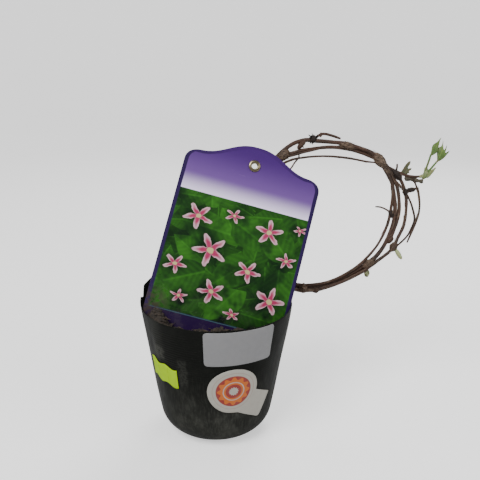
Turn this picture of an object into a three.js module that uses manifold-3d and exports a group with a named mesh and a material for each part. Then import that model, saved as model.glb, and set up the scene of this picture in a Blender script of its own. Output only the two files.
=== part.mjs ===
// A climbing plant in a soft nursery pot: bare woody stems wound into a loose coil beside a
// picture tag, with a few green shoots, as such plants are sold in early spring.
// Millimetres, +Z up. The origin is the centre of the pot's underside; the front is -Y.
import * as THREE from 'three';
import { mergeVertices } from 'three/addons/utils/BufferGeometryUtils.js';
import Module from 'manifold-3d';

const wasm = await Module();
wasm.setup();

// ---------------------------------------------------------------- driving dimensions
const GAP = 0.3; // clearance between pieces that meet

const POT = {
  height: 80,
  rimRadius: 45,
  footRadius: 32.2, // where the straight wall would meet the ground
  cornerRadius: 16, // round turn from wall to base
  wall: 0.6,
  sides: 48,
  drainHoles: 6,
  drainRadius: 2.6,
  drainRing: 12.5,
};
// The soft film stands up higher at the back left: [azimuth, lift] along the rim, where azimuths
// run from the front to the right.
const RIM_LIFT = {
  from: 68,
  places: [[207, 0], [222, 7.5], [238, 9], [248, 7.6], [255, 6.9], [262, 0.8], [269, 2.8], [277, 1.8], [287, 0]],
};

const SOIL = { level: 66.5, roughness: 0.9, heap: { x: -35.5, y: -15, height: 14.5, spread: 7.5 } };

const TAG = {
  width: 83,
  thickness: 0.6,
  centre: [7.8, 2.2, 104],
  lean: 20, // degrees back from upright
  roll: 16, // degrees clockwise as seen from the front
  turn: 3, // degrees of the right side away from the front
  shoulder: 61.2, // height of the two top corners above the tag's centre
  top: 72,
  sideTop: 54,
  sideBottom: -38,
  hip: -47,
  stakeTop: -58,
  stakeWidth: 16,
  tip: -79,
  holeHeight: 60.3,
  holeRadius: 2.4,
};
const EYELET = { bore: 1.7, barrel: 2.1, flange: 3.6, dome: 0.55 };

const STICKER = { thickness: 0.3 };
const NAME_STICKER = { azimuth: 18.5, z: 68, width: 42, height: 21.4, corner: 2.2 };
const ROUND_STICKER = { azimuth: 12.8, z: 40.2, radius: 14.6 };
// Corners of the small tab on the round sticker, from its centre: along the wall, then up.
const ROUND_STICKER_TAB = [[12.5, -1], [26.5, -8.5], [19.8, -22.6], [18.4, -22.8], [2, -14.4], [0, -5]];
const PRICE_STICKER = { azimuth: -49.5, z: 46.7, width: 22.5, height: 12, wave: 0.75, slope: -0.09 };

// The coil of stems: a leaning plane, with places in it given as angle (degrees, anticlockwise
// from the right), distance from the coil's centre, and depth towards the front.
const COIL = { centre: [74.4, 36.7, 125], lean: 14 };
const STEM_SIDES = 6;
const STEM_STEP = 6.5; // length of stem between two sections

// ---------------------------------------------------------------- small helpers
const radians = THREE.MathUtils.degToRad;
const smooth = THREE.MathUtils.smoothstep;
const vector = ([x, y, z]) => new THREE.Vector3(x, y, z);

// One closed surface: shared corners merged, and flat slivers at the poles left out.
function closed(geometry) {
  const bare = geometry.clone();
  bare.deleteAttribute('normal');
  bare.deleteAttribute('uv');
  const merged = mergeVertices(bare, 1e-4);
  const corners = merged.getIndex().array;
  const kept = [];
  for (let i = 0; i < corners.length; i += 3) {
    const [a, b, c] = [corners[i], corners[i + 1], corners[i + 2]];
    if (a !== b && b !== c && c !== a) kept.push(a, b, c);
  }
  merged.setIndex(kept);
  return merged;
}

function toSolid(geometry) {
  const shell = closed(geometry);
  return new wasm.Manifold(new wasm.Mesh({
    numProp: 3,
    vertProperties: Float32Array.from(shell.attributes.position.array),
    triVerts: Uint32Array.from(shell.getIndex().array),
  }));
}

function toGeometry(solid) {
  const mesh = solid.getMesh();
  const geometry = new THREE.BufferGeometry();
  geometry.setAttribute('position', new THREE.BufferAttribute(Float32Array.from(mesh.vertProperties), 3));
  geometry.setIndex(Array.from(mesh.triVerts));
  geometry.computeVertexNormals();
  return geometry;
}

const fuse = (geometries) => toGeometry(geometries.map(toSolid).reduce((a, b) => a.add(b)).simplify(0.03));
const cut = (base, tools) => toGeometry(tools.map(toSolid).reduce((a, b) => a.subtract(b), toSolid(base)));
const common = (first, second) => toGeometry(toSolid(first).intersect(toSolid(second)));

function piece(name, geometry, { colour, roughness, metalness = 0 }) {
  const finish = new THREE.MeshStandardMaterial({ color: colour, roughness, metalness });
  const mesh = new THREE.Mesh(geometry, finish);
  mesh.name = name;
  return mesh;
}

// A profile of [radius, height] points turned about the pot's axis, its seam at the front.
function turned(profile, sides = POT.sides) {
  const points = profile.map(([r, z]) => new THREE.Vector2(r, z));
  return new THREE.LatheGeometry(points, sides).rotateX(Math.PI / 2);
}

// Moves every vertex of a geometry by a rule.
function reshaped(geometry, rule) {
  const position = geometry.attributes.position;
  const point = new THREE.Vector3();
  for (let i = 0; i < position.count; i += 1) {
    rule(point.fromBufferAttribute(position, i));
    position.setXYZ(i, point.x, point.y, point.z);
  }
  return geometry;
}

const azimuthOf = (x, y) => THREE.MathUtils.radToDeg(Math.atan2(x, -y));

// ---------------------------------------------------------------- the pot
const wallSlope = (POT.rimRadius - POT.footRadius) / POT.height;
const cornerTurn = Math.PI / 2 - Math.atan(wallSlope); // angle that the bottom corner turns through
const flatRadius = POT.footRadius - POT.cornerRadius * Math.tan(cornerTurn / 2);
const wallRadius = (z) => POT.footRadius + wallSlope * z;

// The bottom corner and the wall, as seen from the side, moved inwards by `inset`.
function wallProfile(inset, top) {
  const radius = POT.cornerRadius - inset;
  const points = [];
  const steps = 5;
  for (let i = 0; i <= steps; i += 1) {
    const angle = cornerTurn * (i / steps);
    points.push([flatRadius + radius * Math.sin(angle), POT.cornerRadius - radius * Math.cos(angle)]);
  }
  const sideways = inset * Math.hypot(1, wallSlope);
  for (const z of top) points.push([wallRadius(z) - sideways, z]);
  return points;
}

function rimLift(azimuth) {
  const around = (azimuth + 360) % 360;
  const { places } = RIM_LIFT;
  const next = places.findIndex(([place]) => place > around);
  if (next < 1) return 0;
  const [[start, low], [end, high]] = [places[next - 1], places[next]];
  return THREE.MathUtils.mapLinear(around, start, end, low, high);
}

// The lifted film goes on along the slope of the wall.
function liftRim(point) {
  const share = Math.max(0, (point.z - RIM_LIFT.from) / (POT.height - RIM_LIFT.from));
  const lift = share * rimLift(azimuthOf(point.x, point.y));
  if (lift === 0) return;
  const spread = 1 + (wallSlope * lift) / Math.hypot(point.x, point.y);
  point.set(point.x * spread, point.y * spread, point.z + lift);
}

function makePot() {
  const heights = [RIM_LIFT.from, (RIM_LIFT.from + POT.height) / 2, POT.height];
  const outside = wallProfile(0, heights);
  const inside = wallProfile(POT.wall, heights).reverse();
  const shell = turned([[0, 0], ...outside, ...inside, [0, POT.wall]]);
  reshaped(shell, liftRim);
  const holes = [];
  for (let i = 0; i < POT.drainHoles; i += 1) {
    const hole = new THREE.CylinderGeometry(POT.drainRadius, POT.drainRadius, 4 * POT.wall, 10);
    const angle = ((i + 0.5) / POT.drainHoles) * 2 * Math.PI;
    hole.rotateX(Math.PI / 2);
    hole.translate(POT.drainRing * Math.cos(angle), POT.drainRing * Math.sin(angle), 0);
    holes.push(hole);
  }
  return piece('nursery_pot', cut(shell, holes), { colour: 0x232522, roughness: 0.5 });
}

// ---------------------------------------------------------------- the tag and its eyelet
function tagOutline(grow = 0) {
  const side = TAG.width / 2 + grow;
  const stake = TAG.stakeWidth / 2 + grow;
  const shape = new THREE.Shape();
  shape.moveTo(0, TAG.top);
  shape.bezierCurveTo(15, TAG.top + 0.5, 20, TAG.shoulder + 0.6, 33.5, TAG.shoulder);
  shape.bezierCurveTo(38.5, TAG.shoulder - 0.3, side, TAG.shoulder - 3, side, TAG.sideTop);
  shape.lineTo(side, TAG.sideBottom);
  shape.quadraticCurveTo(side, TAG.sideBottom - 6, side - 6, TAG.hip);
  shape.lineTo(stake, TAG.stakeTop);
  shape.lineTo(2 + grow, TAG.tip - grow);
  shape.lineTo(-2 - grow, TAG.tip - grow);
  shape.lineTo(-stake, TAG.stakeTop);
  shape.lineTo(6 - side, TAG.hip);
  shape.quadraticCurveTo(-side, TAG.sideBottom - 6, -side, TAG.sideBottom);
  shape.lineTo(-side, TAG.sideTop);
  shape.bezierCurveTo(-side, TAG.shoulder - 3, -38.5, TAG.shoulder - 0.3, -33.5, TAG.shoulder);
  shape.bezierCurveTo(-20, TAG.shoulder + 0.6, -15, TAG.top + 0.5, 0, TAG.top);
  return shape;
}

// The tag stands up in its own frame: x to the right, z up, its face towards -y.
function tagPlate(shape, thickness) {
  const plate = new THREE.ExtrudeGeometry(shape, { depth: thickness, bevelEnabled: false, curveSegments: 7 });
  return plate.translate(0, 0, -thickness / 2).rotateX(Math.PI / 2);
}

function makeTag() {
  const outline = tagOutline();
  const hole = new THREE.Path();
  hole.absarc(0, TAG.holeHeight, TAG.holeRadius, 0, 2 * Math.PI, false);
  outline.holes.push(hole);
  const card = closed(tagPlate(outline, TAG.thickness));
  return piece('picture_tag', card, { colour: 0x3d6b38, roughness: 0.25 });
}

function makeEyelet() {
  const seat = TAG.thickness / 2 + GAP;
  const face = seat + EYELET.dome;
  const half = [[EYELET.bore, face - 0.25], [EYELET.barrel, face], [EYELET.flange - 0.5, face - 0.05],
    [EYELET.flange, seat + 0.2], [EYELET.flange, seat], [EYELET.barrel, seat]];
  const mirrored = half.map(([r, y]) => [r, -y]).reverse();
  const ring = [...half, ...mirrored, half[0]].reverse().map(([r, y]) => new THREE.Vector2(r, y));
  const eyelet = piece('tag_eyelet', new THREE.LatheGeometry(ring, 20),
    { colour: 0xb79c5e, roughness: 0.3, metalness: 1 });
  eyelet.position.set(0, 0, TAG.holeHeight);
  return eyelet;
}

const tagGroup = new THREE.Group();
tagGroup.position.fromArray(TAG.centre);
tagGroup.rotation.set(radians(-TAG.lean), radians(TAG.roll), radians(TAG.turn), 'ZXY');
tagGroup.add(makeTag(), makeEyelet());
tagGroup.updateMatrixWorld(true);

// ---------------------------------------------------------------- the coil of stems
const coilLean = radians(COIL.lean);
const coilUp = new THREE.Vector3(0, Math.sin(coilLean), Math.cos(coilLean));
const coilFront = new THREE.Vector3(0, -Math.cos(coilLean), Math.sin(coilLean));

function inCoil([angle, distance, depth = 0]) {
  const turn = radians(angle);
  return vector(COIL.centre)
    .add(new THREE.Vector3(distance * Math.cos(turn), 0, 0))
    .addScaledVector(coilUp, distance * Math.sin(turn))
    .addScaledVector(coilFront, depth);
}

// A stem is a radius, the points that it passes in the ground and above it (x, y, z), and then
// the points that it passes in the coil (angle, distance, depth).
const STEMS = {
  leader: { radius: 1.15, ground: [[10, 10, 50], [11, 12, 70], [15, 19, 92]],
    coil: [[197, 51, 1], [172, 49, 2], [148, 50, 2], [130, 51.5, 0], [118, 52.2, 0], [109, 51.2, 0],
      [100, 48.8, 0], [88, 47.6, 0.4], [78, 47.3, 0.6], [68, 47, 0.8], [58, 48, 0.8], [50, 48.8, 0],
      [42, 48.6, 0], [33, 46.8, 0], [24, 44.9, 0], [14, 43.2, 0], [0, 41.2, 0], [346, 40.1, 0],
      [338, 41.1, 0], [330, 40.2, 0], [318, 40, 0], [305, 40.4, -0.7], [290, 41.1, -0.9],
      [279, 42.4, -1.1], [269, 44.5, -1.1], [260, 47.8, -0.9], [250, 50.4, -0.9], [240, 51.8, -1.4]] },
  secondTurn: { radius: 1.05, coil: [[244, 51.4, -1.2], [228, 51, -3], [208, 48.6, -3], [186, 47.6, -2.8],
    [164, 47.4, -2.6], [144, 48, -2], [130, 48.4, -0.8], [119, 46.2, -0.8], [108, 44.6, -0.8],
    [90, 44, -0.8], [76, 44.3, -0.8], [64, 45.3, -0.8], [54, 46.5, -0.8], [46, 48.7, -0.8],
    [39, 50.4, 0.4], [32, 50.2, 0.2], [26, 47.8, 0], [16, 46.3, 0], [4, 44.8, 0], [350, 43.2, 0],
    [342, 42.4, 0], [337, 41, 0]] },
  innerTurn: { radius: 0.72, coil: [[27, 44.6, 0.6], [18, 42, 0.4], [8, 39.8, 0], [354, 37.8, 0],
    [340, 36.6, 0], [322, 35.8, 0], [312, 37.2, 0.8], [304, 39.2, 1.3], [290, 39.1, 1.2],
    [279, 41.2, 1], [269, 43.7, 1.3], [259, 48.4, 1.6], [249, 49.6, 1.6], [238, 49.5, 1.6],
    [220, 47, 2.2], [198, 44.4, 3.6], [176, 44, 4], [154, 45.4, 3.6], [138, 46, 2.2], [126, 43.8, 0.8],
    [114, 40.8, 0], [98, 38.4, 0], [82, 37.9, 0], [68, 39.1, 0], [57, 41.4, 0], [49, 45, 0]] },
  climber: { radius: 0.85, ground: [[14, 8, 50], [18, 10, 70], [30, 16.5, 84], [41, 21, 86]],
    coil: [[243, 53.2, 1], [250, 52, 1.2], [259, 50.4, 0.9], [269, 45.8, 1], [278, 43.9, 0.9],
      [290, 43.1, 0.9], [304, 42, 1.1], [314, 43, 0], [323, 44, 0], [333, 46.1, 0], [341, 46.3, 0],
      [351, 48, 0], [1, 48.9, 0], [12, 50.3, 0], [20, 51.8, 0], [28, 52, 0], [34, 50.6, 0.3]] },
  sideBranch: { radius: 0.6, coil: [[331, 46, 0], [338, 49, 0], [345, 52, 0], [351, 53.6, 0],
    [357, 54.9, 0], [4, 53.8, 0], [11, 52.4, 0], [17, 50.8, 0.2], [23, 49, 0.3], [29, 48.6, 0.3]] },
  looseEnd: { radius: 0.6, coil: [[340, 52.6, 1.6], [346, 53.3, 1.6], [354, 55.2, 1.5], [3, 57.8, 0.6],
    [12, 59.1, 0], [19, 59, 0], [25, 58.6, 0]] },
  shootStem: { radius: 0.85, coil: [[44, 47.6, 0], [37, 50, 0], [31, 53, 0], [27, 56.2, 0], [24.4, 60, 0],
    [23.3, 63.4, 0]] },
  shortCut: { radius: 0.6, coil: [[96, 44, -0.6], [106, 42.7, 0.8], [116, 43.8, 0.8], [128, 47.6, 0.2]] },
  dryTwig: { radius: 0.6, coil: [[83, 49.6, 0.8], [89, 51.1, 0.6], [96, 52.6, 0.4], [102, 51, 0]] },
  tendril: { radius: 0.4, coil: [[117, 46.2, 0], [119.5, 42.8, 0.3], [125, 41.3, 0.6], [133, 39.8, 1],
    [141, 42.6, 1.8], [147, 46.2, 3]] },
  deadStalk: { radius: 0.45, coil: [[1, 39.6, 0], [5, 36.8, 0.2], [9, 32.6, 0.4], [10.5, 29.4, 0.6]] },
  deadBudStalk: { radius: 0.75, coil: [[15, 49.6, 0], [16.5, 52.6, 0], [18, 55, 0], [17, 58.4, 0]] },
  stub: { radius: 0.45, coil: [[33.6, 51, 0], [35.4, 53, 0], [37.4, 54.6, -0.2]] },
};

// Swollen nodes, knots and dry scraps on the stems: place in the coil, the way the swelling runs
// (degrees in the coil's plane), its half length and its half thickness.
const KNOTS = [
  { at: [249, 50.6, 0.2], along: 339, size: [2.6, 2.3] },
  { at: [258.5, 49.4, 0.4], along: 20, size: [2.2, 2.5] },
  { at: [304, 40.9, 0.2], along: 34, size: [4, 2.7] },
  { at: [338, 41.6, 0], along: 62, size: [3.2, 2.1] },
  { at: [333, 46, 0], along: 55, size: [3.4, 2.3] },
  { at: [1, 39.6, 0], along: 95, size: [2, 1.5] },
  { at: [1.5, 41.9, 0], along: 88, size: [1.9, 1.5] },
  { at: [48, 47.8, 0], along: 130, size: [6, 3.2] },
  { at: [31, 50.6, 0.2], along: 130, size: [3.8, 2.4] },
  { at: [17, 50.8, 0.1], along: 100, size: [3.4, 1.9] },
  { at: [17.4, 55, 0], along: 5, size: [2.9, 1.5] },
  { at: [77, 46.1, 0.2], along: 166, size: [5.4, 2.4] },
  { at: [112, 48.4, 0], along: 115, size: [2.9, 1.9] },
  { at: [129, 49.4, 0], along: 45, size: [4.6, 3] },
  { at: [97.5, 52.2, 0.4], along: 80, size: [1.5, 0.9] },
  { at: [24.2, 57.4, -0.6], along: 350, size: [4, 1.8] },
  { at: [21.2, 61.6, -0.5], along: 350, size: [3.4, 1.4] },
  { at: [172, 48.8, 1.2], along: 80, size: [3.2, 2.4] },
  { at: [212, 49.6, -1.6], along: 122, size: [3, 2.2] },
];
// The dry tuft where two shoots were shed: short spikes round one knot.
const TUFT = { at: [103.5, 50.4, 0], radius: 1.9, spikes: 9, length: 2.6 };

function stemCurve({ ground = [], coil }) {
  return new THREE.CatmullRomCurve3([...ground.map(vector), ...coil.map(inCoil)], false, 'centripetal');
}

function roundSection(radius, sides = STEM_SIDES) {
  const corners = [];
  for (let i = 0; i < sides; i += 1) {
    const angle = (i / sides) * 2 * Math.PI;
    corners.push(new THREE.Vector2(radius * Math.cos(angle), radius * Math.sin(angle)));
  }
  return new THREE.Shape(corners);
}

function tube(curve, radius, step = STEM_STEP, sides = STEM_SIDES) {
  const steps = Math.max(2, Math.ceil(curve.getLength() / step));
  return new THREE.ExtrudeGeometry(roundSection(radius, sides),
    { steps, extrudePath: curve, bevelEnabled: false });
}

// An egg-shaped swelling of the given half length and half thickness that runs along `direction`.
function swelling(centre, direction, [halfLength, halfThickness], rings = 5) {
  const egg = new THREE.SphereGeometry(1, 7, rings);
  egg.scale(halfThickness, halfLength, halfThickness);
  const upright = new THREE.Vector3(0, 1, 0);
  const turn = new THREE.Quaternion().setFromUnitVectors(upright, direction.clone().normalize());
  return egg.applyQuaternion(turn).translate(centre.x, centre.y, centre.z);
}

function directionInCoil(angle) {
  const turn = radians(angle);
  return new THREE.Vector3(Math.cos(turn), 0, 0).addScaledVector(coilUp, Math.sin(turn));
}

function tuftSpikes() {
  const centre = inCoil(TUFT.at);
  const spikes = [swelling(centre, coilUp, [TUFT.radius * 1.3, TUFT.radius])];
  for (let i = 0; i < TUFT.spikes; i += 1) {
    const direction = directionInCoil(20 + (i * 320) / TUFT.spikes);
    direction.addScaledVector(coilFront, 0.7 * Math.sin(2.4 * i)).normalize();
    const root = centre.clone().addScaledVector(direction, TUFT.radius * 0.3);
    const end = centre.clone().addScaledVector(direction, TUFT.radius + TUFT.length * (0.6 + 0.3 * (i % 2)));
    spikes.push(tube(new THREE.LineCurve3(root, end), 0.35, 20, 4));
  }
  return spikes;
}

function makeVine() {
  const parts = Object.values(STEMS).map((stem) => tube(stemCurve(stem), stem.radius));
  for (const knot of KNOTS) parts.push(swelling(inCoil(knot.at), directionInCoil(knot.along), knot.size));
  return piece('vine_stems', fuse([...parts, ...tuftSpikes()]), { colour: 0x54443a, roughness: 0.85 });
}

// ---------------------------------------------------------------- the green growth
// A leaf blade is its outline from the base up (to the right, up), folded along a midrib.
const LEAF_THICKNESS = 0.6;
const SMALL_LEAF = [[0, -0.6], [0.7, 3.7], [1, 5.8], [2, 7.1], [3.9, 8.5], [6.2, 11.2], [5.4, 8.5],
  [4.9, 5.1], [4.3, 2], [2.3, 0.3]];
const CUT_LEAF = [[-0.2, -0.6], [-0.7, 3.7], [-0.6, 6.5], [-0.3, 8.2], [2, 9.3], [3.3, 12.9], [3.2, 9.2],
  [3.9, 6.8], [5.6, 9.9], [5, 6.5], [4.6, 5], [7.2, 6.1], [5.2, 3.2], [2.9, 0.8]];
const NARROW_LEAF = [[0, -0.8], [-0.9, 1.6], [-0.6, 4.6], [0.9, 8.6], [1.6, 5], [1.6, 1.6], [0.9, -0.4]];
const BUD_LEAF = [[-1.6, -1], [-1.2, 1.8], [-0.6, 4.2], [0.8, 7.4], [2, 8.2], [2.3, 6.4], [1.7, 3.9],
  [2.6, 2.4], [1.8, 0.6], [1.2, -1]];

// `tilt` leans the blade off the coil's plane about its foot, `spin` turns it within that plane.
function blade(outline, at, { spin = 0, tilt = 0, fold = 0.25, midrib = 0.45 }) {
  const shape = new THREE.Shape(outline.map(([x, y]) => new THREE.Vector2(x, y)));
  const plate = new THREE.ExtrudeGeometry(shape, { depth: LEAF_THICKNESS, bevelEnabled: false });
  plate.translate(0, 0, -LEAF_THICKNESS / 2);
  reshaped(plate, (p) => { p.z -= fold * Math.abs(p.x - midrib * p.y); });
  plate.rotateY(radians(tilt)).rotateZ(radians(spin));
  const basis = new THREE.Matrix4().makeBasis(new THREE.Vector3(1, 0, 0), coilUp, coilFront);
  const place = inCoil(at);
  return plate.applyMatrix4(basis).translate(place.x, place.y, place.z);
}

const coilPath = (points) => new THREE.CatmullRomCurve3(points.map(inCoil), false, 'centripetal');

function makeShoot() {
  const parts = [
    swelling(inCoil([22.6, 66.5, 0]), directionInCoil(60), [2.6, 1.5]),
    tube(coilPath([[23, 66.4, 0], [25, 68.2, 0.4], [28, 72, 0.6], [31, 76.3, 0.4]]), 0.5, 3.5),
    tube(coilPath([[23, 67, 0], [24.6, 72, -0.4], [26.2, 77, -0.8], [26.9, 79.6, -1]]), 0.5, 3.5),
    blade(SMALL_LEAF, [31, 76, 0.4], { tilt: 18, fold: 0.3 }),
    blade(CUT_LEAF, [26.8, 79.2, -1], { tilt: -14, fold: 0.22, midrib: 0.35 }),
    blade(NARROW_LEAF, [21.6, 67.6, 0.6], { spin: -38, tilt: 10, fold: 0.35, midrib: 0.1 }),
  ];
  return piece('green_shoot', fuse(parts), { colour: 0x718a3f, roughness: 0.6 });
}

function makeBuds() {
  const green = { colour: 0x6b7048, roughness: 0.65 };
  const leafBud = blade(BUD_LEAF, [31, 55.7, 0.3], { spin: -8, tilt: 12, fold: 0.3, midrib: 0.2 });
  const paleFoot = inCoil([330.4, 47.85, 0.3]);
  const paleTip = inCoil([327.6, 55.8, 0.9]);
  const paleMiddle = paleFoot.clone().lerp(paleTip, 0.5);
  const paleReach = paleTip.clone().sub(paleFoot);
  const paleBud = swelling(paleMiddle, paleReach, [paleReach.length() / 2, 1.25], 7);
  const roundBud = swelling(inCoil([301.8, 46, 0]), directionInCoil(272), [2.7, 1.4], 6);
  return [
    piece('leaf_bud', closed(leafBud), green),
    piece('pale_bud', closed(paleBud), { colour: 0xb9bd92, roughness: 0.6 }),
    piece('round_bud', closed(roundBud), green),
  ];
}

// ---------------------------------------------------------------- the potting soil
function soilHeight(x, y) {
  const { heap, roughness } = SOIL;
  const away = Math.hypot(x - heap.x, y - heap.y) / heap.spread;
  const crumbs = Math.sin(0.55 * x + 0.8) * Math.cos(0.47 * y - 0.4) + 0.6 * Math.sin(0.31 * x - 0.62 * y);
  return SOIL.level + heap.height * Math.exp(-away * away) + roughness * crumbs;
}

function makeSoil() {
  const rings = 7;
  const inset = POT.wall + GAP;
  const edgeRadius = wallRadius(SOIL.level) - inset * Math.hypot(1, wallSlope);
  const topRings = [];
  for (let i = rings - 1; i >= 0; i -= 1) topRings.push([(edgeRadius * i) / rings, SOIL.level]);
  const body = turned([[0, inset], ...wallProfile(inset, [SOIL.level]), ...topRings]);
  const flare = wallSlope / edgeRadius;
  reshaped(body, (p) => {
    if (Math.abs(p.z - SOIL.level) > 0.01) return;
    const wide = Math.hypot(p.x, p.y) / edgeRadius;
    const rise = soilHeight(p.x, p.y) - SOIL.level;
    const spread = 1 + flare * rise * smooth(wide, 0.8, 1);
    p.set(p.x * spread, p.y * spread, SOIL.level + rise);
  });
  const slot = tagPlate(tagOutline(0.4), TAG.thickness + 2 * GAP).applyMatrix4(tagGroup.matrixWorld);
  const sideCuts = [-1, 1].map((side) => {
    const opening = new THREE.BoxGeometry(14, TAG.thickness + 2 * GAP, 34);
    opening.translate(side * (TAG.width / 2 + 2), 0, TAG.sideBottom + 10);
    return opening.applyMatrix4(tagGroup.matrixWorld);
  });
  const stemHoles = [STEMS.leader, STEMS.climber].map((stem) => {
    const foot = stem.ground.map(vector);
    foot.unshift(foot[0].clone().add(new THREE.Vector3(0, 0, -2)));
    return tube(new THREE.CatmullRomCurve3(foot, false, 'centripetal'), stem.radius + 0.75, 4, 8);
  });
  const bed = cut(body, [slot, ...sideCuts, ...stemHoles]);
  return piece('potting_soil', bed, { colour: 0x4a3a2c, roughness: 0.95 });
}

// ---------------------------------------------------------------- the stickers
// A thin skin that lies on the pot's wall wherever the outline (along the wall, up) covers it.
function onWall(outline, { azimuth, z }) {
  const near = GAP;
  const far = GAP + STICKER.thickness;
  const reach = 27;
  const low = z - reach;
  const high = Math.min(z + reach, POT.height + 1);
  const [lowRadius, highRadius] = [wallRadius(low), wallRadius(high)];
  const skin = turned([[lowRadius + near, low], [lowRadius + far, low], [highRadius + far, high],
    [highRadius + near, high], [lowRadius + near, low]]);
  const wedge = new THREE.ExtrudeGeometry(outline, { depth: 1, bevelEnabled: false, curveSegments: 8 });
  const middleRadius = wallRadius(z);
  reshaped(wedge, (p) => {
    const turn = radians(azimuth) + p.x / middleRadius;
    const radius = p.z > 0.5 ? 1.5 * middleRadius : 0.5 * middleRadius;
    p.set(radius * Math.sin(turn), -radius * Math.cos(turn), z + p.y);
  });
  return common(skin, wedge);
}

function roundedRectangle(width, height, corner) {
  const [x, y] = [width / 2, height / 2];
  const shape = new THREE.Shape();
  shape.moveTo(x - corner, -y);
  shape.absarc(x - corner, corner - y, corner, -Math.PI / 2, 0);
  shape.absarc(x - corner, y - corner, corner, 0, Math.PI / 2);
  shape.absarc(corner - x, y - corner, corner, Math.PI / 2, Math.PI);
  shape.absarc(corner - x, corner - y, corner, Math.PI, 1.5 * Math.PI);
  shape.closePath();
  return shape;
}

// The price sticker has a waved top and bottom edge.
function wavedRectangle({ width, height, wave, slope }) {
  const steps = 16;
  const edge = (i, side) => {
    const x = (i / steps - 0.5) * width;
    return new THREE.Vector2(x, (side * height) / 2 + slope * x + wave * Math.sin((4 * Math.PI * i) / steps));
  };
  const points = [];
  for (let i = 0; i <= steps; i += 1) points.push(edge(i, -1));
  for (let i = steps; i >= 0; i -= 1) points.push(edge(i, 1));
  return new THREE.Shape(points);
}

function makeStickers() {
  const { width, height, corner } = NAME_STICKER;
  const name = onWall(roundedRectangle(width, height, corner), NAME_STICKER);
  const disc = new THREE.Shape().absarc(0, 0, ROUND_STICKER.radius, 0, 2 * Math.PI);
  const tab = new THREE.Shape(ROUND_STICKER_TAB.map(([x, y]) => new THREE.Vector2(x, y)).reverse());
  const round = fuse([onWall(disc, ROUND_STICKER), onWall(tab, ROUND_STICKER)]);
  const price = onWall(wavedRectangle(PRICE_STICKER), PRICE_STICKER);
  return [
    piece('name_sticker', name, { colour: 0xb9b9bb, roughness: 0.5 }),
    piece('round_sticker', round, { colour: 0xd9d5cf, roughness: 0.4 }),
    piece('price_sticker', price, { colour: 0xabc62c, roughness: 0.5 }),
  ];
}

// ---------------------------------------------------------------- the whole plant
const plant = new THREE.Group();
plant.add(makePot(), makeSoil(), tagGroup, ...makeStickers(), makeVine(), makeShoot(), ...makeBuds());

export default plant;
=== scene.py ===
"""A climbing plant in a soft nursery pot, with a picture tag and a loose coil of woody stems.

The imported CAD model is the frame. Each operator below dresses one piece, or one group of like
pieces. Tables are in millimetres, in the frame of the CAD model; meshes are in metres.
"""

import math
import random
from functools import partialmethod

import bmesh
import bpy
import numpy as np
from bpy.props import FloatProperty, FloatVectorProperty, IntProperty, PointerProperty
from mathutils import Matrix, Vector, noise
from mathutils.geometry import delaunay_2d_cdt


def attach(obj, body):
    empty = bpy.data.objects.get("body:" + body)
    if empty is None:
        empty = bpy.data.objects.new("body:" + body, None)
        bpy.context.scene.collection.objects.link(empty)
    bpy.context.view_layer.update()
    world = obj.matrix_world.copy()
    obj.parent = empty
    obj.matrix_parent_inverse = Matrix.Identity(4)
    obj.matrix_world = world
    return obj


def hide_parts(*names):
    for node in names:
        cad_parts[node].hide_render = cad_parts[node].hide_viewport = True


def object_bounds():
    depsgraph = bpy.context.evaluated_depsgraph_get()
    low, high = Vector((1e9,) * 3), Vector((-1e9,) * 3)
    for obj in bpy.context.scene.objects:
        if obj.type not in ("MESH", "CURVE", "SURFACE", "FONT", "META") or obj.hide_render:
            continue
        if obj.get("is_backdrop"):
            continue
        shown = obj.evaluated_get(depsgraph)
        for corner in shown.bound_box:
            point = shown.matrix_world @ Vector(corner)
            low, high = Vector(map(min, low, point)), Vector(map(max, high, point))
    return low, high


bl_info = {
    "name": "Potted climbing plant",
    "version": (1, 0, 0),
    "blender": (4, 5, 0),
    "location": "3D View > Sidebar > Potted plant",
    "description": "Dresses the CAD model of a climbing plant in its nursery pot",
    "category": "Object",
}

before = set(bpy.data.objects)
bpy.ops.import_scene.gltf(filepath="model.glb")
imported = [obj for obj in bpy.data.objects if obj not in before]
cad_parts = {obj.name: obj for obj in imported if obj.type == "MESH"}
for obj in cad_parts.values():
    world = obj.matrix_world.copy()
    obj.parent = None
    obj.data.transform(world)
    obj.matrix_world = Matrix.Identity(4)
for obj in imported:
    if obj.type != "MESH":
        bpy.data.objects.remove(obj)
CAD_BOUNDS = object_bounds()

MM = 0.001
BODY = "root"

# ---------------------------------------------------------------- sizes, in mm
POT_HEIGHT, RIM_RADIUS, FOOT_RADIUS, CORNER_RADIUS, WALL = 80, 45, 32.2, 16, 0.6
WALL_SLOPE = (RIM_RADIUS - FOOT_RADIUS) / POT_HEIGHT
CORNER_TURN = math.pi / 2 - math.atan(WALL_SLOPE)
FLAT_RADIUS = FOOT_RADIUS - CORNER_RADIUS * math.tan(CORNER_TURN / 2)
DRAIN_HOLES, DRAIN_RADIUS, DRAIN_RING = 6, 2.6, 12.5
# The soft film stands up higher at the back left: azimuth and lift along the rim. The lift begins
# at the height `RIM_FROM`, and the unevenness of the cut edge at `RIM_CUT_FROM`.
RIM_FROM, RIM_CUT_FROM = 68, 74
RIM_LIFT = [(207, 0), (222, 7.5), (238, 9), (248, 7.6), (255, 6.9), (261, 0.8), (268, 2.8),
            (277, 1.8), (287, 0)]
# Height of the first and the last moulded rib.
RIBS = (44, 77)
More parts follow.
